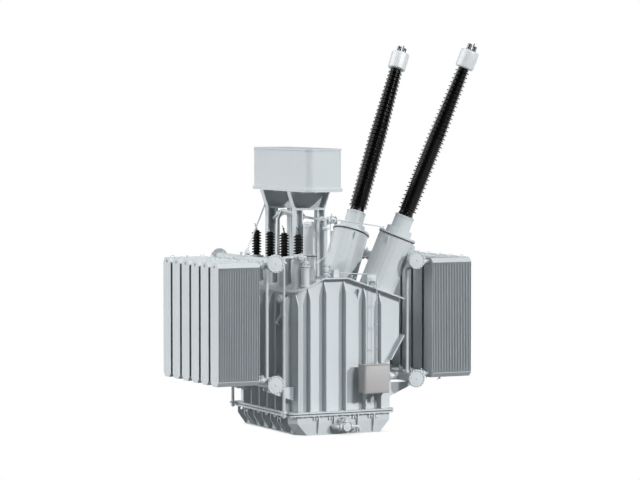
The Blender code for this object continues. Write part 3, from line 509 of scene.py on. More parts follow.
# Cover: one plate folded along two lines and welded down on the tank. It carries a bolted
# manhole, thermometer pockets, hand-hole covers and jacking eyes.
def on_roof(x, y, lift=0.0):
    """A place on the cover whose Z stands square to it."""
    slope = FALL_LEFT if x < FOLD_LEFT else (-FALL_RIGHT if x > FOLD_RIGHT else 0.0)
    normal = Vector((-slope, 0, 1)).normalized()
    return aim(Vector((x, y, roof_top(x))) + normal * lift, normal)


bm = bmesh.new()
studs = bmesh.new()
for x, y, radius, count in ((-0.20, 0.10, 0.26, 20), (0.62, 0.0, 0.20, 16)):
    place = on_roof(x, y)
    turned(bm, [(radius, 0), (radius, 0.018), (radius - 0.02, 0.02), (radius - 0.02, 0.024),
                (radius, 0.026), (radius, 0.044), (0.03, 0.046), (0, 0.046)], place, 40)
    bolt_ring(studs, 0.016, count, radius - 0.028, 0.044, place, 0)
    for x in (-0.05, 0.05):
        grip = [(x, -0.06, 0.04), (x, -0.06, 0.09), (x, 0.06, 0.09), (x, 0.06, 0.04)]
        sweep(bm, [place @ Vector(p) for p in grip], 0.008, 8, 0.02)
for x, y in ((-0.74, -1.72), (-0.28, 1.50)):
    place = on_roof(x, y)
    block(bm, (0.22, 0.14, 0.03), place @ Matrix.Translation((0, 0, 0.015)), 0.004)
    for sx in (-1, 1):
        for sy in (-1, 1):
            bolt(studs, 0.012, place @ Matrix.Translation((sx * 0.09, sy * 0.05, 0.03)))
for x, y in ((-0.05, -1.10), (0.10, 1.30), (-0.30, -0.35)):
    place = on_roof(x, y)
    turned(bm, [(0.045, 0), (0.045, 0.012), (0.022, 0.014), (0.022, 0.10), (0.032, 0.102),
                (0.032, 0.135), (0.010, 0.145), (0, 0.145)], place, 20)
for x, y in ((-0.62, 1.62), (0.30, -1.72), (0.30, 1.72)):
    place = on_roof(x, y)
    eye = [(-0.06, 0, -0.01), (-0.06, 0, 0.07), (-0.03, 0, 0.11), (0.03, 0, 0.11), (0.06, 0, 0.07),
           (0.06, 0, -0.01)]
    sweep(bm, [place @ Vector(p) for p in eye], 0.014, 10, 0.03)
piece("roof_fittings", bm, enamel)
piece("roof_bolts", studs, zinc)


# Radiators: twelve banks of twenty-five pressed panels, each two steel sheets seam-welded
# round a flat rim and spot-welded between six oil channels, then dipped and sprayed grey.
RAD_LOW = 1.453
RAD_HIGH = 4.749
RAD_HALF = 0.26
RAD_FLAT = 0.145
RAD_CHAMFER = 0.115
PANELS = 25
PANEL_PITCH = 0.0495
PANEL_FIRST = 0.015
SEAM = 0.0055
SWELL = 0.0075
SLOPE = 0.0058
VALLEY = 0.003
RIM = 0.018
CHANNELS = 6
PORT_IN = 0.10
BANKS = 6
BANK_X = 2.607
BANK_FRONT = -1.880
BANK_PITCH = 0.649


def panel(bm, x):
    """One pressed panel: rows from the bottom up, each a front and a back line of points."""
    rows = []
    collar = RAD_LOW + RAD_CHAMFER
    crown = RAD_HIGH - RAD_CHAMFER
    heights = (
        (RAD_LOW, 0), (RAD_LOW + RIM, 0), (RAD_LOW + 0.04, 1), (collar, 1), (collar + 0.09, 2),
        (crown - 0.09, 2), (crown, 1), (RAD_HIGH - 0.04, 1), (RAD_HIGH - RIM, 0), (RAD_HIGH, 0),
    )
    for z, kind in heights:
        near = min(z - RAD_LOW, RAD_HIGH - z)
        half = min(RAD_HALF, RAD_FLAT + near)
        line = [(-half, SEAM), (RIM - half, SEAM)]
        for i in range(1, CHANNELS * 4):
            y = (half - RIM) * (2 * i / (CHANNELS * 4) - 1)
            thick = (VALLEY, SLOPE, SWELL, SLOPE)[i % 4] if kind == 2 else SWELL
            line.append((y, thick if kind else SEAM))
        rows.append(line + [(half - RIM, SEAM), (half, SEAM)])
    sides = []
    for sign in (-1, 1):
        grid = []
        for row, (z, kind) in zip(rows, heights):
            grid.append([bm.verts.new((x + sign * t, y, z)) for y, t in row])
        sides.append(grid)
        for a, b in zip(grid, grid[1:]):
            for i in range(len(a) - 1):
                bm.faces.new((a[i], a[i + 1], b[i + 1], b[i]))
    back, front = sides
    for a, b in ((back[0], front[0]), (back[-1], front[-1])):
        for i in range(len(a) - 1):
            bm.faces.new((a[i], a[i + 1], b[i + 1], b[i]))
    for end in (0, -1):
        for i in range(len(back) - 1):
            bm.faces.new((back[i][end], back[i + 1][end], front[i + 1][end], front[i][end]))


bm = bmesh.new()
for k in range(PANELS):
    panel(bm, PANEL_FIRST + k * PANEL_PITCH)
reach = PANEL_FIRST + (PANELS - 1) * PANEL_PITCH
inset = 0.006
for low, sign in ((RAD_LOW, 1), (RAD_HIGH, -1)):
    z = low + sign * inset
    shoulder = low + sign * (RAD_CHAMFER + inset / 2)
    foot = low + sign * 0.13
    half = RAD_HALF - inset
    flat = RAD_FLAT - inset / 2
    collector = [
        (-flat, z), (flat, z), (half, shoulder), (half, foot), (-half, foot), (-half, shoulder),
    ]
    place = Matrix(((0, 0, 1, PANEL_FIRST), (1, 0, 0, 0), (0, 1, 0, 0), (0, 0, 0, 1)))
    slab(bm, collector, reach - PANEL_FIRST, place)
for z in (RAD_LOW + PORT_IN, RAD_HIGH - PORT_IN):
    way = aim((PANEL_FIRST, 0, z), (-1, 0, 0))
    turned(bm, [(0, 0), (0.055, 0), (0.055, 0.135), (0.088, 0.135), (0.088, 0.155), (0.095, 0.155),
                (0.095, 0.174), (0, 0.174)], way, 24)
# Lifting eyes and a vent plug on top, drain plug with its hooked cock underneath
for x in (0.16, reach - 0.16):
    eye = [(x - 0.05, 0, RAD_HIGH - 0.02), (x - 0.05, 0, RAD_HIGH + 0.05),
           (x + 0.05, 0, RAD_HIGH + 0.05), (x + 0.05, 0, RAD_HIGH - 0.02)]
    sweep(bm, eye, 0.010, 8, 0.04)
turned(bm, [(0.022, -0.02), (0.022, 0.02), (0.030, 0.02), (0.030, 0.045), (0, 0.05)],
       aim((0.60, 0, RAD_HIGH)), 12)
turned(bm, [(0.020, -0.02), (0.020, 0.03), (0.028, 0.03), (0.028, 0.06), (0, 0.062)],
       aim((0.36, 0, RAD_LOW), (0, 0, -1)), 12)
cock = [(0.36, 0, RAD_LOW - 0.04), (0.30, 0, RAD_LOW - 0.06), (0.28, 0, RAD_LOW - 0.10)]
sweep(bm, cock, 0.009, 8, 0.02)
first = piece("radiator_panels_right_1", bm, enamel, ["radiator_right_1"])
first.location = (BANK_X, BANK_FRONT, 0)
for word, side, turn in (("right", 1, 0.0), ("left", -1, math.pi)):
    for i in range(BANKS):
        if word == "right" and i == 0:
            continue
        item = bpy.data.objects.new(f"radiator_panels_{word}_{i + 1}", first.data)
        bpy.context.scene.collection.objects.link(item)
        item.location = (side * BANK_X, BANK_FRONT + i * BANK_PITCH, 0)
        item.rotation_euler = (0, 0, turn)
        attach(item, "root")
        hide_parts(f"radiator_{word}_{i + 1}")

# Rubber-capped plugs where the top collectors end, in the outer panels
bm = bmesh.new()
for side in (-1, 1):
    for i in range(BANKS):
        spot = (side * (BANK_X + reach), BANK_FRONT + i * BANK_PITCH, RAD_HIGH - PORT_IN)
        place = aim(spot, (side, 0, 0))
        turned(bm, [(0.036, 0), (0.036, 0.012), (0.026, 0.015), (0.026, 0.004), (0, 0.004)],
               place, 20)
piece("collector_plugs", bm, gasket_rubber)


# Headers: rolled steel pipes along the banks with bolted blind flanges at their ends.
# Every radiator hangs on a pair of butterfly valves, so that it can come off full of oil.
HEAD_X = 2.125
HEAD_FRONT = -2.14
HEAD_BACK = 1.66
HEAD_LOW_Z = 1.455
HEAD_TOP_Z = 4.705
DRUM_X = 2.325
BLIND_R = 0.245
BLIND_T = 0.05
DRUM_R = 0.160
HEAD_BOLT = 0.030
VALVE_X = 2.40
bm = bmesh.new()
studs = bmesh.new()
for side, z in ((-1, HEAD_TOP_Z), (-1, HEAD_LOW_Z), (1, HEAD_TOP_Z), (1, HEAD_LOW_Z)):
    offset = side > 0 and z == HEAD_TOP_Z
    for x, y, way, radius in (
        (side * HEAD_X, HEAD_FRONT, -1, BLIND_R),
        (side * (DRUM_X if offset else HEAD_X), HEAD_BACK, 1, DRUM_R if offset else BLIND_R),
    ):
        face = aim((x, y, z), (0, way, 0))
        dish = radius - 0.075
        turned(bm, [(dish, -0.002), (dish - 0.006, 0.006), (0.03, 0.010), (0.03, 0.024),
                    (0, 0.026)], face, 32)
        inner = Matrix.Translation((x, y - way * BLIND_T, z))
        for place in (face, inner @ Matrix.Rotation(way * math.pi / 2, 4, "X")):
            bolt_ring(studs, HEAD_BOLT, 12 if radius == DRUM_R else 16, radius - 0.024, 0, place)
for side in (-1, 1):
    for z in (RAD_LOW + PORT_IN, RAD_HIGH - PORT_IN):
        for i in range(BANKS):
            y = BANK_FRONT + i * BANK_PITCH
            for gap in (-0.035, 0.035):
                place = aim((side * (VALVE_X + gap), y, z), (side, 0, 0))
                turned(bm, [(0, -0.011), (0.108, -0.011), (0.112, -0.007), (0.112, 0.007),
                            (0.108, 0.011), (0, 0.011)], place, 28)
            place = aim((side * (VALVE_X - 0.024), y, z), (side, 0, 0))
            turned(bm, [(0, 0), (0.096, 0), (0.096, 0.048), (0, 0.048)], place, 24)
            stem = aim((side * VALVE_X, y, z + 0.09))
            turned(bm, [(0.018, 0), (0.018, 0.035), (0.026, 0.037), (0.026, 0.055), (0, 0.056)],
                   stem, 12)
            block(bm, (0.020, 0.110, 0.008), stem @ Matrix.Translation((0, -0.045, 0.060)), 0.002)
            place = aim((side * (VALVE_X - 0.046), y, z), (-side, 0, 0))
            bolt_ring(studs, 0.014, 4, 0.094, 0, place)
# Flanges where the branches leave the tank, and the vent plugs on the top headers
for side, wall in ((-1, WALL_LEFT), (1, WALL_RIGHT)):
    for y in (-1.145, 1.00):
        for gap in (0.160, 0.205):
            place = aim((wall + side * gap, y, HEAD_LOW_Z), (side, 0, 0))
            turned(bm, [(0, 0), (0.18, 0), (0.18, 0.026), (0, 0.026)], place, 32)
        for gap, way in ((0.231, side), (0.160, -side)):
            place = aim((wall + side * gap, y, HEAD_LOW_Z), (way, 0, 0))
            bolt_ring(studs, 0.018, 12, 0.152, 0, place)
for x, y, z in ((-HEAD_X, -1.86, 4.83), (-HEAD_X, 1.30, 4.83), (HEAD_X, -2.00, 4.90),
                (DRUM_X, -1.20, 4.80), (DRUM_X, 1.30, 4.80), (DRUM_X, 0.10, 4.80)):
    turned(bm, [(0.032, -0.01), (0.032, 0.03), (0.044, 0.032), (0.044, 0.055), (0.018, 0.058),
                (0.018, 0.095), (0, 0.10)], aim((x, y, z)), 16)
piece("header_fittings", bm, enamel)
piece("header_bolts", studs, enamel)


# Oil pipes: drawn steel tube in flanged lengths. The front one leaves the small turret on
# the roof through a gate valve, crosses to the corner and runs down beside the tank.
def flange_pair(bm, studs, spot, way, pipe, rim):
    """Two flanges face to face on a pipe, with eight M12 bolts."""
    place = aim(spot, way)
    half = 0.022
    size = 0.012
    turned(bm, [(pipe, -half - 0.02), (pipe + 0.012, -half), (rim, -half), (rim, -0.002),
                (rim - 0.008, 0), (rim, 0.002), (rim, half), (pipe + 0.012, half),
                (pipe, half + 0.02)], place, 28)
    for face in (place, place @ Matrix.Rotation(math.pi, 4, "X")):
        bolt_ring(studs, size, 8, rim - 1.4 * size, half, face)


def handwheel(bm, hub, way, radius, spokes=5):
    """A cast wheel: rim, spokes and hub."""
    place = aim(hub, way)
    sweep(bm, [place @ on_circle(radius, i / 28) for i in range(28)], radius * 0.09, 8, closed=True)
    for i in range(spokes):
        root = on_circle(radius * 0.12, i / spokes, -radius * 0.12)
        sweep(bm, [place @ root, place @ on_circle(radius, i / spokes)], radius * 0.06, 6)
    turned(bm, [(0, -0.03), (radius * 0.2, -0.03), (radius * 0.2, 0.012), (radius * 0.1, 0.02),
                (0, 0.02)], place, 12)


OIL_X = -1.70
OIL_Y = -1.72
OIL_REAR_Y = 1.67
GATE = Vector((-1.265, OIL_Y, 4.84))
bonnet = (0, -1, 0.15)
bm = bmesh.new()
studs = bmesh.new()
for spot, way in (
    ((-1.06, OIL_Y, 4.69), (0, 0, 1)), ((-1.17, OIL_Y, 4.84), (1, 0, 0)),
    ((-1.36, OIL_Y, 4.84), (1, 0, 0)), ((OIL_X, OIL_Y, 4.70), (0, 0, 1)),
    ((OIL_X, OIL_Y, 0.64), (0, 0, 1)), ((OIL_X, OIL_REAR_Y, 0.62), (0, 0, 1)),
    ((-1.55, 1.335, 1.08), (1, 0, 0)),
):
    flange_pair(bm, studs, spot, way, 0.045, 0.088)
turned(bm, [(0.045, -0.075), (0.075, -0.05), (0.085, 0), (0.075, 0.05), (0.045, 0.075)],
       aim(GATE, (1, 0, 0)), 24)
turned(bm, [(0.05, 0.0), (0.045, 0.09), (0.06, 0.095), (0.06, 0.115), (0.018, 0.12), (0.018, 0.19),
            (0, 0.19)], aim(GATE, bonnet), 20)
handwheel(bm, GATE + Vector((0, -0.19, 0.028)), bonnet, 0.085)
# Blank ends of the down pipes, each with a drain plug, and the collars of the front one
for y in (OIL_Y, OIL_REAR_Y):
    turned(bm, [(0.046, 0.03), (0.062, 0.028), (0.062, 0.0), (0.020, -0.002), (0.020, -0.03),
                (0, -0.03)], aim((OIL_X, y, 0.52)), 20)
for z in (1.50, 3.30):
    turned(bm, [(0.050, -0.02), (0.057, -0.018), (0.057, 0.018), (0.050, 0.02)],
           aim((OIL_X, OIL_Y, z)), 20)
piece("oil_pipe_fittings", bm, enamel)
piece("oil_pipe_bolts", studs, zinc)


# Conservator: the expansion tank above, rolled and welded sheet between two flanged lips.
# It stands on two channel-shaped supports whose feet are welded to the sloping cover.
bm = bmesh.new()
studs = bmesh.new()
SUPPORT_X = -0.56
HEAD_PLATE_Z = 6.549
LEG_HALF = 0.7825
for y in (-0.88, 0.88):
    for x in (-0.50, -0.20, 0.20, 0.50):
        for lift in (-0.05, 0.04):
            bolt(studs, 0.02, aim((SUPPORT_X + x, y + lift, HEAD_PLATE_Z), (0, 0, -1)))
    for side in (-1, 1):
        for end in (-1, 1):
            foot = on_roof(SUPPORT_X + side * LEG_HALF, y + end * 0.13)
            block(bm, (0.30, 0.05, 0.03), foot @ Matrix.Translation((0, 0, 0.012)), 0.004)
piece("support_fittings", bm, enamel)
piece("support_bolts", studs, zinc)

# Fillet welds where the rolled sheet meets its lips, and the drain plugs in its floor
CONS_X = -0.50
CONS_HALF_X = 0.545
CONS_HALF_Y = 1.81
CONS_R = 0.20
bm = bmesh.new()
for z in (6.68, 7.715):
    line = rounded_line(CONS_HALF_X, CONS_HALF_Y, [CONS_R] * 4, 8)
    sweep(bm, [(CONS_X + x, y, z) for x, y in line], 0.010, 6, closed=True)
for y in (-1.40, 1.45):
    turned(bm, [(0.045, 0), (0.045, 0.025), (0.032, 0.027), (0.032, 0.06), (0, 0.062)],
           aim((CONS_X, y, 6.59), (0, 0, -1)), 16)
piece("conservator_fittings", bm, enamel)


# High-voltage bushings: a hollow insulator of silicone rubber sheds moulded on a glass-fibre
# tube, leaning on a steel turret that holds the current transformers.

# Silicone rubber, moulded: near black with a soft gloss, so that each shed's rim catches the light
silicone, shader, tree, bloom, _ = two_tone(
    "silicone_rubber_moulded", "TexNoise", {"Scale": 7.0, "Detail": 4.0}, "030304", "070708"
)
film = node(tree, "MapRange", values={1: 0.3, 2: 0.7, 3: 0.18, 4: 0.27}, links={0: bloom})
tree.links.new(film.outputs[0], shader.inputs["Roughness"])
shader.inputs["IOR"].default_value = 1.41
shader.inputs["Specular IOR Level"].default_value = 0.3

# Cast aluminium, bead-blasted and lacquered: a pale soft metal, faintly cloudy over 60 mm
cast, shader, tree, grain, _ = two_tone(
    "aluminium_cast_blasted", "TexNoise", {"Scale": 16.0, "Detail": 2.0}, "C4C7C9", "C9CCCE"
)
dull = node(tree, "MapRange", values={3: 0.44, 4: 0.52}, links={0: grain})
tree.links.new(dull.outputs[0], shader.inputs["Roughness"])
shader.inputs["Metallic"].default_value = 0.15

# Stainless steel, turned and polished, its gloss a little uneven over 20 mm. Its colour is painted
# darker than bare steel, a painted dark reflection, so that the polished studs read as dark lines
steel, shader, tree, haze, _ = two_tone(
    "stainless_steel_polished", "TexNoise", {"Scale": 60.0, "Detail": 2.0}, "5E6164", "76797C"
)
dull = node(tree, "MapRange", values={3: 0.08, 4: 0.20}, links={0: haze})
tree.links.new(dull.outputs[0], shader.inputs["Roughness"])
shader.inputs["Metallic"].default_value = 1.0

SEAT_X = 1.894
SEAT_Y = 1.435
SEAT_Z = 5.382
SHEDS = 35
SHED_LOW_Z = 0.70
SHED_TOP_Z = 4.92
CORE_R = (0.192, 0.128)
TIP_R = (0.259, 0.197)
CAP_LOW = 4.921
CAP_FLAT = 0.2035
CAP_TOP = 5.44
CAP_ROUND = 0.055


def shed_profile(low, high, count, core, tip, small, thick):
    """Large and small sheds by turns up a core, from the foot to the top: blunt cones that
    slope down to a rounded rim. The core and the rims narrow over the upper half."""
    line = []
    pitch = (high - low) / count
    for i in range(count):
        share = max(0.0, 2 * (i + 0.5) / count - 1)
        root = core[0] + share * (core[1] - core[0])
        edge = tip[0] + share * (tip[1] - tip[0])
        for lift, reach in ((0.30, edge), (0.80, edge - small)):
            z = low + (i + lift) * pitch
            drop = (reach - root) * 0.16
            rim = z - drop
            line += [
                (root, z - thick), (reach - 0.004, rim - thick * 0.60), (reach, rim - thick * 0.45),
                (reach, rim + thick * 0.40), (reach - 0.005, rim + thick * 0.60), (root, z + thick),
            ]
    return line


for side, word in ((-1, "front"), (1, "rear")):
    lean = Vector((0.378, side * 0.131, 1))
    seat = aim((SEAT_X, side * SEAT_Y, SEAT_Z), lean)
    bm = bmesh.new()
    line = [(0, 0.548), (0.205, 0.548), (0.205, 0.60), (0.196, 0.65), (CORE_R[0], 0.66)]
    line += shed_profile(SHED_LOW_Z, SHED_TOP_Z - 0.02, SHEDS, CORE_R, TIP_R, 0.040, 0.023)
    line += [(CORE_R[1], SHED_TOP_Z), (0, SHED_TOP_Z)]
    turned(bm, line, seat, 48)
    piece(f"hv_sheds_{word}", bm, silicone, [f"hv_bushing_{word}"])

    # End cap spun with rounded shoulders, and its polished terminal with an eye bolt
    bm = bmesh.new()
    line = [(0, CAP_LOW), (CAP_FLAT, CAP_LOW)]
    for start, middle, rise in ((-90, CAP_LOW + 0.050, 0.050), (0, CAP_TOP - CAP_ROUND, CAP_ROUND)):
        for i in range(7):
            a = math.radians(start + 15 * i)
            line.append((CAP_FLAT + CAP_ROUND * math.cos(a), middle + rise * math.sin(a)))
    line += [(0.13, CAP_TOP), (0.13, CAP_TOP + 0.007), (0, CAP_TOP + 0.007)]
    turned(bm, line, seat, 56)
    bolt_ring(bm, 0.014, 8, 0.165, CAP_TOP, seat)
    piece(f"hv_end_cap_{word}", bm, cast, [f"hv_cap_{word}"])
    bm = bmesh.new()
    turned(bm, [(0, 0.005), (0.145, 0.005), (0.148, 0.010), (0.148, 0.024), (0, 0.026)],
           seat @ Matrix.Translation((0, 0, CAP_TOP)), 40)
    across = seat.to_3x3().inverted() @ Vector((0.90, -0.43, 0))
    across = Vector((across.x, across.y, 0)).normalized()
    for way, radius, top in ((-0.075, 0.062, 0.180), (0.078, 0.058, 0.150)):
        stud = seat @ Matrix.Translation(across * way + Vector((0, 0, CAP_TOP)))
        turned(bm, [(0, 0.02), (radius, 0.02), (radius, 0.05), (radius - 0.006, 0.054),
                    (radius, 0.058), (radius, top - 0.012), (radius - 0.012, top), (0, top)],
               stud, 28)
    knob = seat @ Matrix.Translation(across * 0.03 + Vector((0, 0, CAP_TOP)))
    turned(bm, [(0, 0.10), (0.017, 0.10), (0.017, 0.185), (0.026, 0.188), (0.026, 0.20),
                (0.012, 0.203), (0.012, 0.225), (0, 0.228)], knob, 16)
    piece(f"hv_terminal_{word}", bm, steel)

    # Turret: bolted rim with its gasket, the clamping flange under the insulator, terminal box
    bm = bmesh.new()
    studs = bmesh.new()
    turned(bm, [(0.265, 0.16), (0.300, 0.162), (0.300, 0.185), (0.265, 0.187)], seat, 48)
    turned(bm, [(0.264, 0.500), (0.276, 0.502), (0.276, 0.546), (0.20, 0.547)], seat, 48)
    bolt_ring(studs, 0.012, 36, 0.512, 0, seat, 0)
    bolt_ring(studs, 0.016, 20, 0.335, 0.16, seat)
    bolt_ring(studs, 0.014, 16, 0.238, 0.548, seat)
    for turn in (30, 150, 270):
        spin = Matrix.Rotation(math.radians(turn), 4, "Z") @ Matrix.Rotation(math.pi / 2, 4, "X")
        lug = [(0.50, -0.34), (0.53, -0.32), (0.575, -0.20), (0.575, -0.14), (0.50, -0.12)]
        slab(bm, lug, 0.02, seat @ spin)
    # Terminal box of the current transformers, on two short legs beside the turret's foot
    box = Vector((0.975, side * 1.60, 4.22))
    block(bm, (0.30, 0.18, 0.19), Matrix.Translation(box), 0.008)
    block(bm, (0.32, 0.20, 0.014), Matrix.Translation(box + Vector((0, 0, 0.10))), 0.003)
    for sx in (-1, 1):
        leg = box + Vector((sx * 0.11, 0, -0.16))
        block(bm, (0.04, 0.12, 0.26), Matrix.Translation(leg), 0.003)
        for sy in (-1, 1):
            bolt(studs, 0.010, aim(box + Vector((sx * 0.145, sy * 0.085, 0.107))))
    piece(f"hv_turret_trim_{word}", bm, enamel)
    piece(f"hv_turret_bolts_{word}", studs, zinc)
    bm = bmesh.new()
    turned(bm, [(0.498, -0.080), (0.524, -0.0795), (0.524, -0.0505), (0.498, -0.0500)], seat, 64)
    piece(f"hv_rim_gasket_{word}", bm, gasket_rubber)


# Low-voltage bushings: four small silicone insulators clamped on steel drums, each with a
# forked terminal of polished stainless steel whose palm turns up and away to the left.
LV_X = -1.10
LV_PITCH = 0.91
LV_LOW_Z = 4.825
LV_TOP_Z = 5.43
LV_CORE = (0.078, 0.078)
LV_TIP = (0.134, 0.134)
for i in range(4):
    bm = bmesh.new()
    seat = Matrix.Translation((LV_X, (i - 1.5) * LV_PITCH, 0))
    line = [(0, 4.7405), (0.10, 4.7405), (0.10, 4.775), (0.085, 4.79)]
    line += shed_profile(LV_LOW_Z, LV_TOP_Z, 8, LV_CORE, LV_TIP, 0.050, 0.026)
    line += [(0.08, LV_TOP_Z), (0, LV_TOP_Z)]
    turned(bm, line, seat, 40)
    piece(f"lv_sheds_{i + 1}", bm, silicone, [f"lv_bushing_{i + 1}"])
    bm = bmesh.new()
    turned(bm, [(0, LV_TOP_Z), (0.062, LV_TOP_Z), (0.062, 5.448), (0.024, 5.452), (0.020, 5.50),
                (0, 5.50)], seat, 24)
    for sy in (-1, 1):
        legs = [(0.0, sy * 0.018, 5.44), (-0.005, sy * 0.032, 5.49), (-0.02, sy * 0.020, 5.545)]
        sweep(bm, [seat @ Vector(p) for p in legs], 0.012, 8, 0.03)
    turned(bm, [(0, -0.035), (0.026, -0.032), (0.030, 0), (0.026, 0.032), (0, 0.035)],
           seat @ aim((-0.02, 0, 5.555), (0.3, 1, 0)), 16)
    palm = [(-0.02, 0, 5.56), (-0.035, 0, 5.60), (-0.055, 0.01, 5.63), (-0.045, 0.02, 5.636)]
    sweep(bm, [seat @ Vector(p) for p in palm], 0.011, 8, 0.02)
    piece(f"lv_terminal_{i + 1}", bm, steel)
bm = bmesh.new()
studs = bmesh.new()
for i in range(4):
    seat = Matrix.Translation((LV_X, (i - 1.5) * LV_PITCH, 4.74))
    turned(bm, [(0.104, 0), (0.125, 0.001), (0.125, 0.022), (0.104, 0.026)], seat, 32)
    turned(bm, [(0.19, -0.060), (0.204, -0.058), (0.204, -0.034), (0.19, -0.032)], seat, 40)
    bolt_ring(studs, 0.014, 12, 0.178, 0, seat, 0)
    bolt_ring(studs, 0.008, 6, 0.115, 0.022, seat)
piece("lv_flanges", bm, enamel)
piece("lv_bolts", studs, zinc)


# Column and small turret on the roof: the column is a capped steel tube in a bolted sleeve,
# the turret a short drum whose flange sits on a dark gasket.
bm = bmesh.new()
studs = bmesh.new()
seals = bmesh.new()
column = Matrix.Translation((-0.68, -1.19, 0))
turned(bm, [(0.19, 4.79), (0.218, 4.792), (0.218, 4.82), (0.19, 4.822)], column, 40)
turned(bm, [(0.168, 4.851), (0.218, 4.852), (0.218, 4.880), (0.168, 4.884)], column, 40)
turned(seals, [(0.19, 4.822), (0.212, 4.823), (0.212, 4.850), (0.168, 4.851)], column, 40)
turned(bm, [(0.165, 5.62), (0.172, 5.622), (0.172, 5.640), (0.165, 5.642)], column, 40)
bolt_ring(studs, 0.012, 16, 0.200, 4.882, column, 0)
drum = Matrix.Translation((-1.06, -1.72, 0))
turned(seals, [(0.112, 4.552), (0.128, 4.553), (0.128, 4.5698), (0.112, 4.5699)], drum, 32)
turned(bm, [(0.112, 4.520), (0.130, 4.522), (0.130, 4.550), (0.112, 4.552)], drum, 32)
turned(bm, [(0.122, 4.02), (0.140, 4.04), (0.140, 4.075), (0.112, 4.08)], drum, 32)
bolt_ring(studs, 0.012, 8, 0.105, 4.60, drum)
piece("column_and_drum_rings", bm, enamel)
piece("column_and_drum_bolts", studs, zinc)
piece("column_and_drum_seals", seals, gasket_rubber)


# Relay pipe: it falls from the conservator through both supports to the gas relay at the
# front, in flanged lengths, with a shut-off valve above the roof and a thin sampling pipe.
RELAY = Vector((-0.46, -1.75, 5.82))
RELAY_R = 0.050
RELAY_RIM = 0.092
STOP_VALVE = Vector((RELAY.x, RELAY.y, 4.47))
high = Vector((-0.59, 1.15, 5.95))
bm = bmesh.new()
studs = bmesh.new()
run = RELAY - high
for share in (0.10, 0.52, 0.93):
    flange_pair(bm, studs, high + run * share, run, RELAY_R, RELAY_RIM)
flange_pair(bm, studs, (high.x, high.y, 6.40), (0, 0, 1), RELAY_R, RELAY_RIM)
for z in (5.60, 4.62, 4.36):
    flange_pair(bm, studs, (RELAY.x, RELAY.y, z), (0, 0, 1), RELAY_R, RELAY_RIM)
turned(bm, [(0.050, -0.09), (0.078, -0.06), (0.086, 0), (0.078, 0.06), (0.050, 0.09)],
       aim(STOP_VALVE + Vector((0, 0, 0.02))), 24)
turned(bm, [(0.045, 0.05), (0.04, 0.09), (0.016, 0.10), (0.016, 0.13), (0, 0.13)],
       aim(STOP_VALVE, (1, 0, 0)), 16)
handwheel(bm, STOP_VALVE + Vector((0.135, 0, 0)), (1, 0, 0), 0.115)
sample = [(-0.32, -1.75, 5.76), (-0.32, -1.75, 4.97), (-0.73, -1.75, 4.66), (-0.82, -1.75, 4.59),
          (-0.84, -1.75, 4.10)]
sweep(bm, sample, 0.013, 8, 0.05)
turned(bm, [(0, -0.03), (0.026, -0.03), (0.030, 0), (0.026, 0.03), (0, 0.03)],
       aim((-0.71, -1.75, 4.675), (0.8, 0, 0.6)), 14)
handwheel(bm, Vector((-0.84, -1.80, 4.42)), (0, -1, 0), 0.045, 4)
# Gas collecting pipe between the supports, with its riser from the roof
sweep(bm, [(-0.84, 0.80, 5.79), (-0.80, 0.30, 6.03), (-0.78, -0.79, 5.975)], 0.043, 14, 0.06)
sweep(bm, [(-0.93, 0.30, 4.08), (-0.93, 0.30, 5.80), (-0.82, 0.30, 6.02)], 0.043, 14, 0.08)
flange_pair(bm, studs, (-0.93, 0.30, 4.40), (0, 0, 1), 0.043, 0.085)
# Gas relay: ribbed body, bolted glass frame, test cock and cable box
body = Vector((-0.28, -1.75, 5.82))
block(bm, (0.15, 0.19, 0.15), Matrix.Translation(body), 0.02)
turned(bm, [(0.045, 0.07), (0.045, 0.10), (0.055, 0.102), (0.055, 0.125), (0.015, 0.13),
            (0.015, 0.165), (0.02, 0.167), (0.02, 0.185), (0, 0.185)], Matrix.Translation(body), 20)
block(bm, (0.10, 0.03, 0.10), Matrix.Translation(body + Vector((0, -0.105, 0))), 0.008)
block(bm, (0.08, 0.07, 0.08), Matrix.Translation(body + Vector((0.0, 0.125, 0.01))), 0.01)
for sx in (-1, 1):
    for sz in (-1, 1):
        bolt(studs, 0.008, aim(body + Vector((sx * 0.038, -0.12, sz * 0.038)), (0, -1, 0)))
    bolt_ring(studs, 0.010, 8, 0.096, 0, aim(body + Vector((sx * 0.102, 0, 0)), (-sx, 0, 0)))
piece("relay_fittings", bm, enamel)
piece("relay_bolts", studs, zinc)

# Gauge glass: clear tempered glass over a pale scale, glossy and slightly green
glass, shader, *_ = two_tone(
    "gauge_glass_tempered", "TexWave", {"Scale": 14.0}, "55605C", "6F7B76", {"bands_direction": "Z"}
)
shader.inputs["Roughness"].default_value = 0.06
shader.inputs["IOR"].default_value = 1.52
bm = bmesh.new()
block(bm, (0.056, 0.006, 0.056), Matrix.Translation(body + Vector((0, -0.122, 0))), 0.002)
piece("relay_glass", bm, glass)


# Breather line: thin steel tube from the conservator down to a cock on the left header,
# held by small saddles, the cock's body cast and painted over.
bm = bmesh.new()
valve = Vector((-HEAD_X, -0.27, 4.836))
turned(bm, [(0.084, -0.004), (0.084, 0.020), (0.066, 0.024), (0.066, 0.050), (0.084, 0.054),
            (0.084, 0.092), (0.070, 0.098), (0.062, 0.150), (0.036, 0.165), (0.026, 0.205)],
       Matrix.Translation(valve), 24)
turned(bm, [(0.026, 0.04), (0.026, 0.10), (0.012, 0.105), (0.012, 0.14), (0, 0.14)],
       aim(valve + Vector((0, 0, 0.075)), (0, -1, 0)), 12)
block(bm, (0.12, 0.014, 0.026), Matrix.Translation(valve + Vector((0.03, -0.142, 0.075))), 0.003)
turned(bm, [(0.030, -0.01), (0.030, 0.05), (0.042, 0.052), (0.042, 0.085), (0, 0.088)],
       Matrix.Translation((-HEAD_X, 0.13, 4.83)), 16)
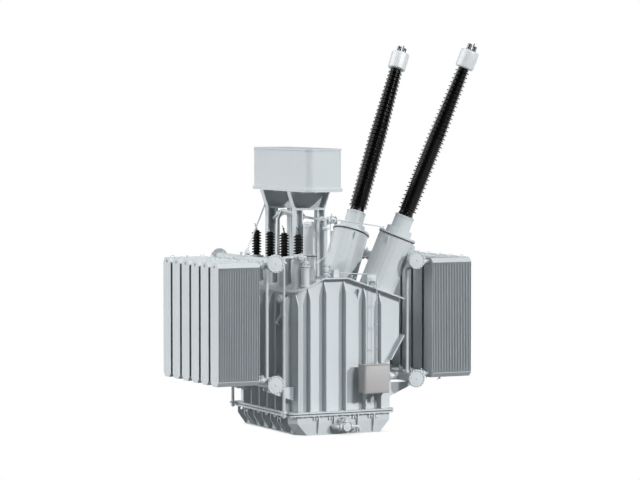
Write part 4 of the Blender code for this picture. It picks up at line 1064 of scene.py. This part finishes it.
turned(bm, [(0.022, -0.02), (0.034, -0.018), (0.034, 0.018), (0.022, 0.02)],
       Matrix.Translation((-1.00, 1.05, 6.45)), 20)
piece("breather_fittings", bm, enamel)


# Control cabinet: folded sheet steel on two angle brackets, powder-coated warm grey, with a
# door set in a rain channel, a drip roof and cable glands under the conduit.

# Powder coat: warm mid grey, evenly matt, with a leather grain of 1 mm, drawn at 5 mm
powder, shader, tree, _, spot = two_tone(
    "warm_grey_powder_coat", "TexNoise", {"Scale": 2.2, "Detail": 4.0}, "AAA9A8", "A3A2A1"
)
grain = node(tree, "TexNoise", values={"Scale": 200.0, "Detail": 2.0}, links={"Vector": spot})
fuzz = node(
    tree, "Bump", values={"Strength": 0.2, "Distance": 0.001}, links={"Height": grain.outputs[0]}
)
tree.links.new(fuzz.outputs[0], shader.inputs["Normal"])
shader.inputs["Roughness"].default_value = 0.55
shader.inputs["IOR"].default_value = 1.5
for place in solids["control_cabinet"].material_slots:
    place.material = powder

CAB_LEFT = 0.457
CAB_RIGHT = 1.207
CAB_FRONT = -2.2904
CAB_BACK = -1.8904
CAB_LOW = 1.118
CAB_TOP = 1.90
CONDUIT = Vector((0.99, -1.9504, 0))
bm = bmesh.new()
middle = Matrix.Translation(((CAB_LEFT + CAB_RIGHT) / 2, CAB_FRONT, (CAB_LOW + CAB_TOP) / 2))
block(bm, (0.700, 0.016, 0.732), middle @ Matrix.Translation((0, -0.010, 0)), 0.004)
block(bm, (0.750, 0.030, 0.012), middle @ Matrix.Translation((0, -0.012, 0.383)), 0.003)
piece("cabinet_door", bm, powder)
bm = bmesh.new()
for x in (CAB_LEFT + 0.15, CAB_RIGHT - 0.15):
    arm = [(0, 0), (0.30, 0), (0.30, -0.03), (0.03, -0.22), (0, -0.22)]
    place = Matrix.Translation((x, CAB_BACK, CAB_LOW)) @ Matrix.Rotation(-math.pi / 2, 4, "Z")
    slab(bm, arm, 0.012, place @ Matrix.Rotation(math.pi / 2, 4, "X"))
    block(bm, (0.05, 0.36, 0.012), Matrix.Translation((x, CAB_BACK - 0.19, CAB_LOW - 0.006)), 0.002)
turned(bm, [(0.045, 0), (0.045, 0.02), (0.032, 0.022), (0.032, 0.055), (0.021, 0.07)],
       Matrix.Translation((CONDUIT.x, CONDUIT.y, CAB_TOP)), 20)
for z in (2.35, 2.95, 3.55, 4.10):
    turned(bm, [(0.019, -0.015), (0.027, -0.014), (0.027, 0.014), (0.019, 0.015)],
           Matrix.Translation((CONDUIT.x, CONDUIT.y, z)), 16)
    block(bm, (0.09, 0.07, 0.02), Matrix.Translation((CONDUIT.x, -1.925, z)), 0.003)
for k in range(5):
    turned(bm, [(0.022, 0), (0.022, 0.015), (0.016, 0.017), (0.016, 0.04), (0, 0.041)],
           aim((CAB_LEFT + 0.23 + 0.07 * k, -2.12, CAB_LOW), (0, 0, -1)), 14)
# Lid of the small box on the roof where the conduit ends
block(bm, (0.172, 0.172, 0.022), Matrix.Translation((-0.12, -1.62, 4.464)), 0.006)
piece("cabinet_fixings", bm, enamel)


# Drain valve on the tray: a flanged globe valve with a bonnet and handwheel, and a spout
# that turns over into a hooked, capped end.
bm = bmesh.new()
studs = bmesh.new()
GLOBE = Vector((0, -2.02, 0.22))
DRAIN_R = 0.062
turned(bm, [(0.075, -0.14), (0.110, -0.08), (0.118, 0), (0.110, 0.08), (0.075, 0.14)],
       aim(GLOBE, (1, 0, 0)), 28)
turned(bm, [(0.09, -0.02), (0.115, -0.018), (0.115, 0.012), (0.03, 0.02), (0, 0.02)],
       aim(GLOBE + Vector((0, -0.115, 0)), (0, -1, 0)), 28)
turned(bm, [(0.07, 0.04), (0.060, 0.12), (0.088, 0.124), (0.088, 0.150), (0.040, 0.155),
            (0.036, 0.20), (0.014, 0.205), (0.014, 0.275), (0, 0.275)], aim(GLOBE), 24)
handwheel(bm, GLOBE + Vector((0, 0, 0.255)), (0, 0, 1), 0.115)
for gap in (-0.17, 0.17):
    flange_pair(bm, studs, GLOBE + Vector((gap, 0, 0)), (1, 0, 0), DRAIN_R, 0.105)
inlet = [GLOBE + Vector(p) for p in ((-0.30, 0.16, 0), (-0.26, 0, 0), (-0.12, 0, 0))]
sweep(bm, inlet, DRAIN_R, 18, 0.10)
bolt_ring(studs, 0.014, 8, 0.095, 0, aim(GLOBE + Vector((0, -0.127, 0)), (0, -1, 0)))
hook = [GLOBE + Vector(p) for p in ((0.12, 0, 0), (0.33, 0, 0), (0.42, 0, -0.04), (0.44, 0, -0.15))]
sweep(bm, hook, 0.040, 16, 0.07)
turned(bm, [(0.046, -0.02), (0.054, -0.018), (0.054, 0.018), (0.046, 0.02)],
       aim(hook[-1] + Vector((0, 0, 0.02))), 18)
piece("drain_valve_fittings", bm, enamel)
piece("drain_valve_bolts", studs, zinc)
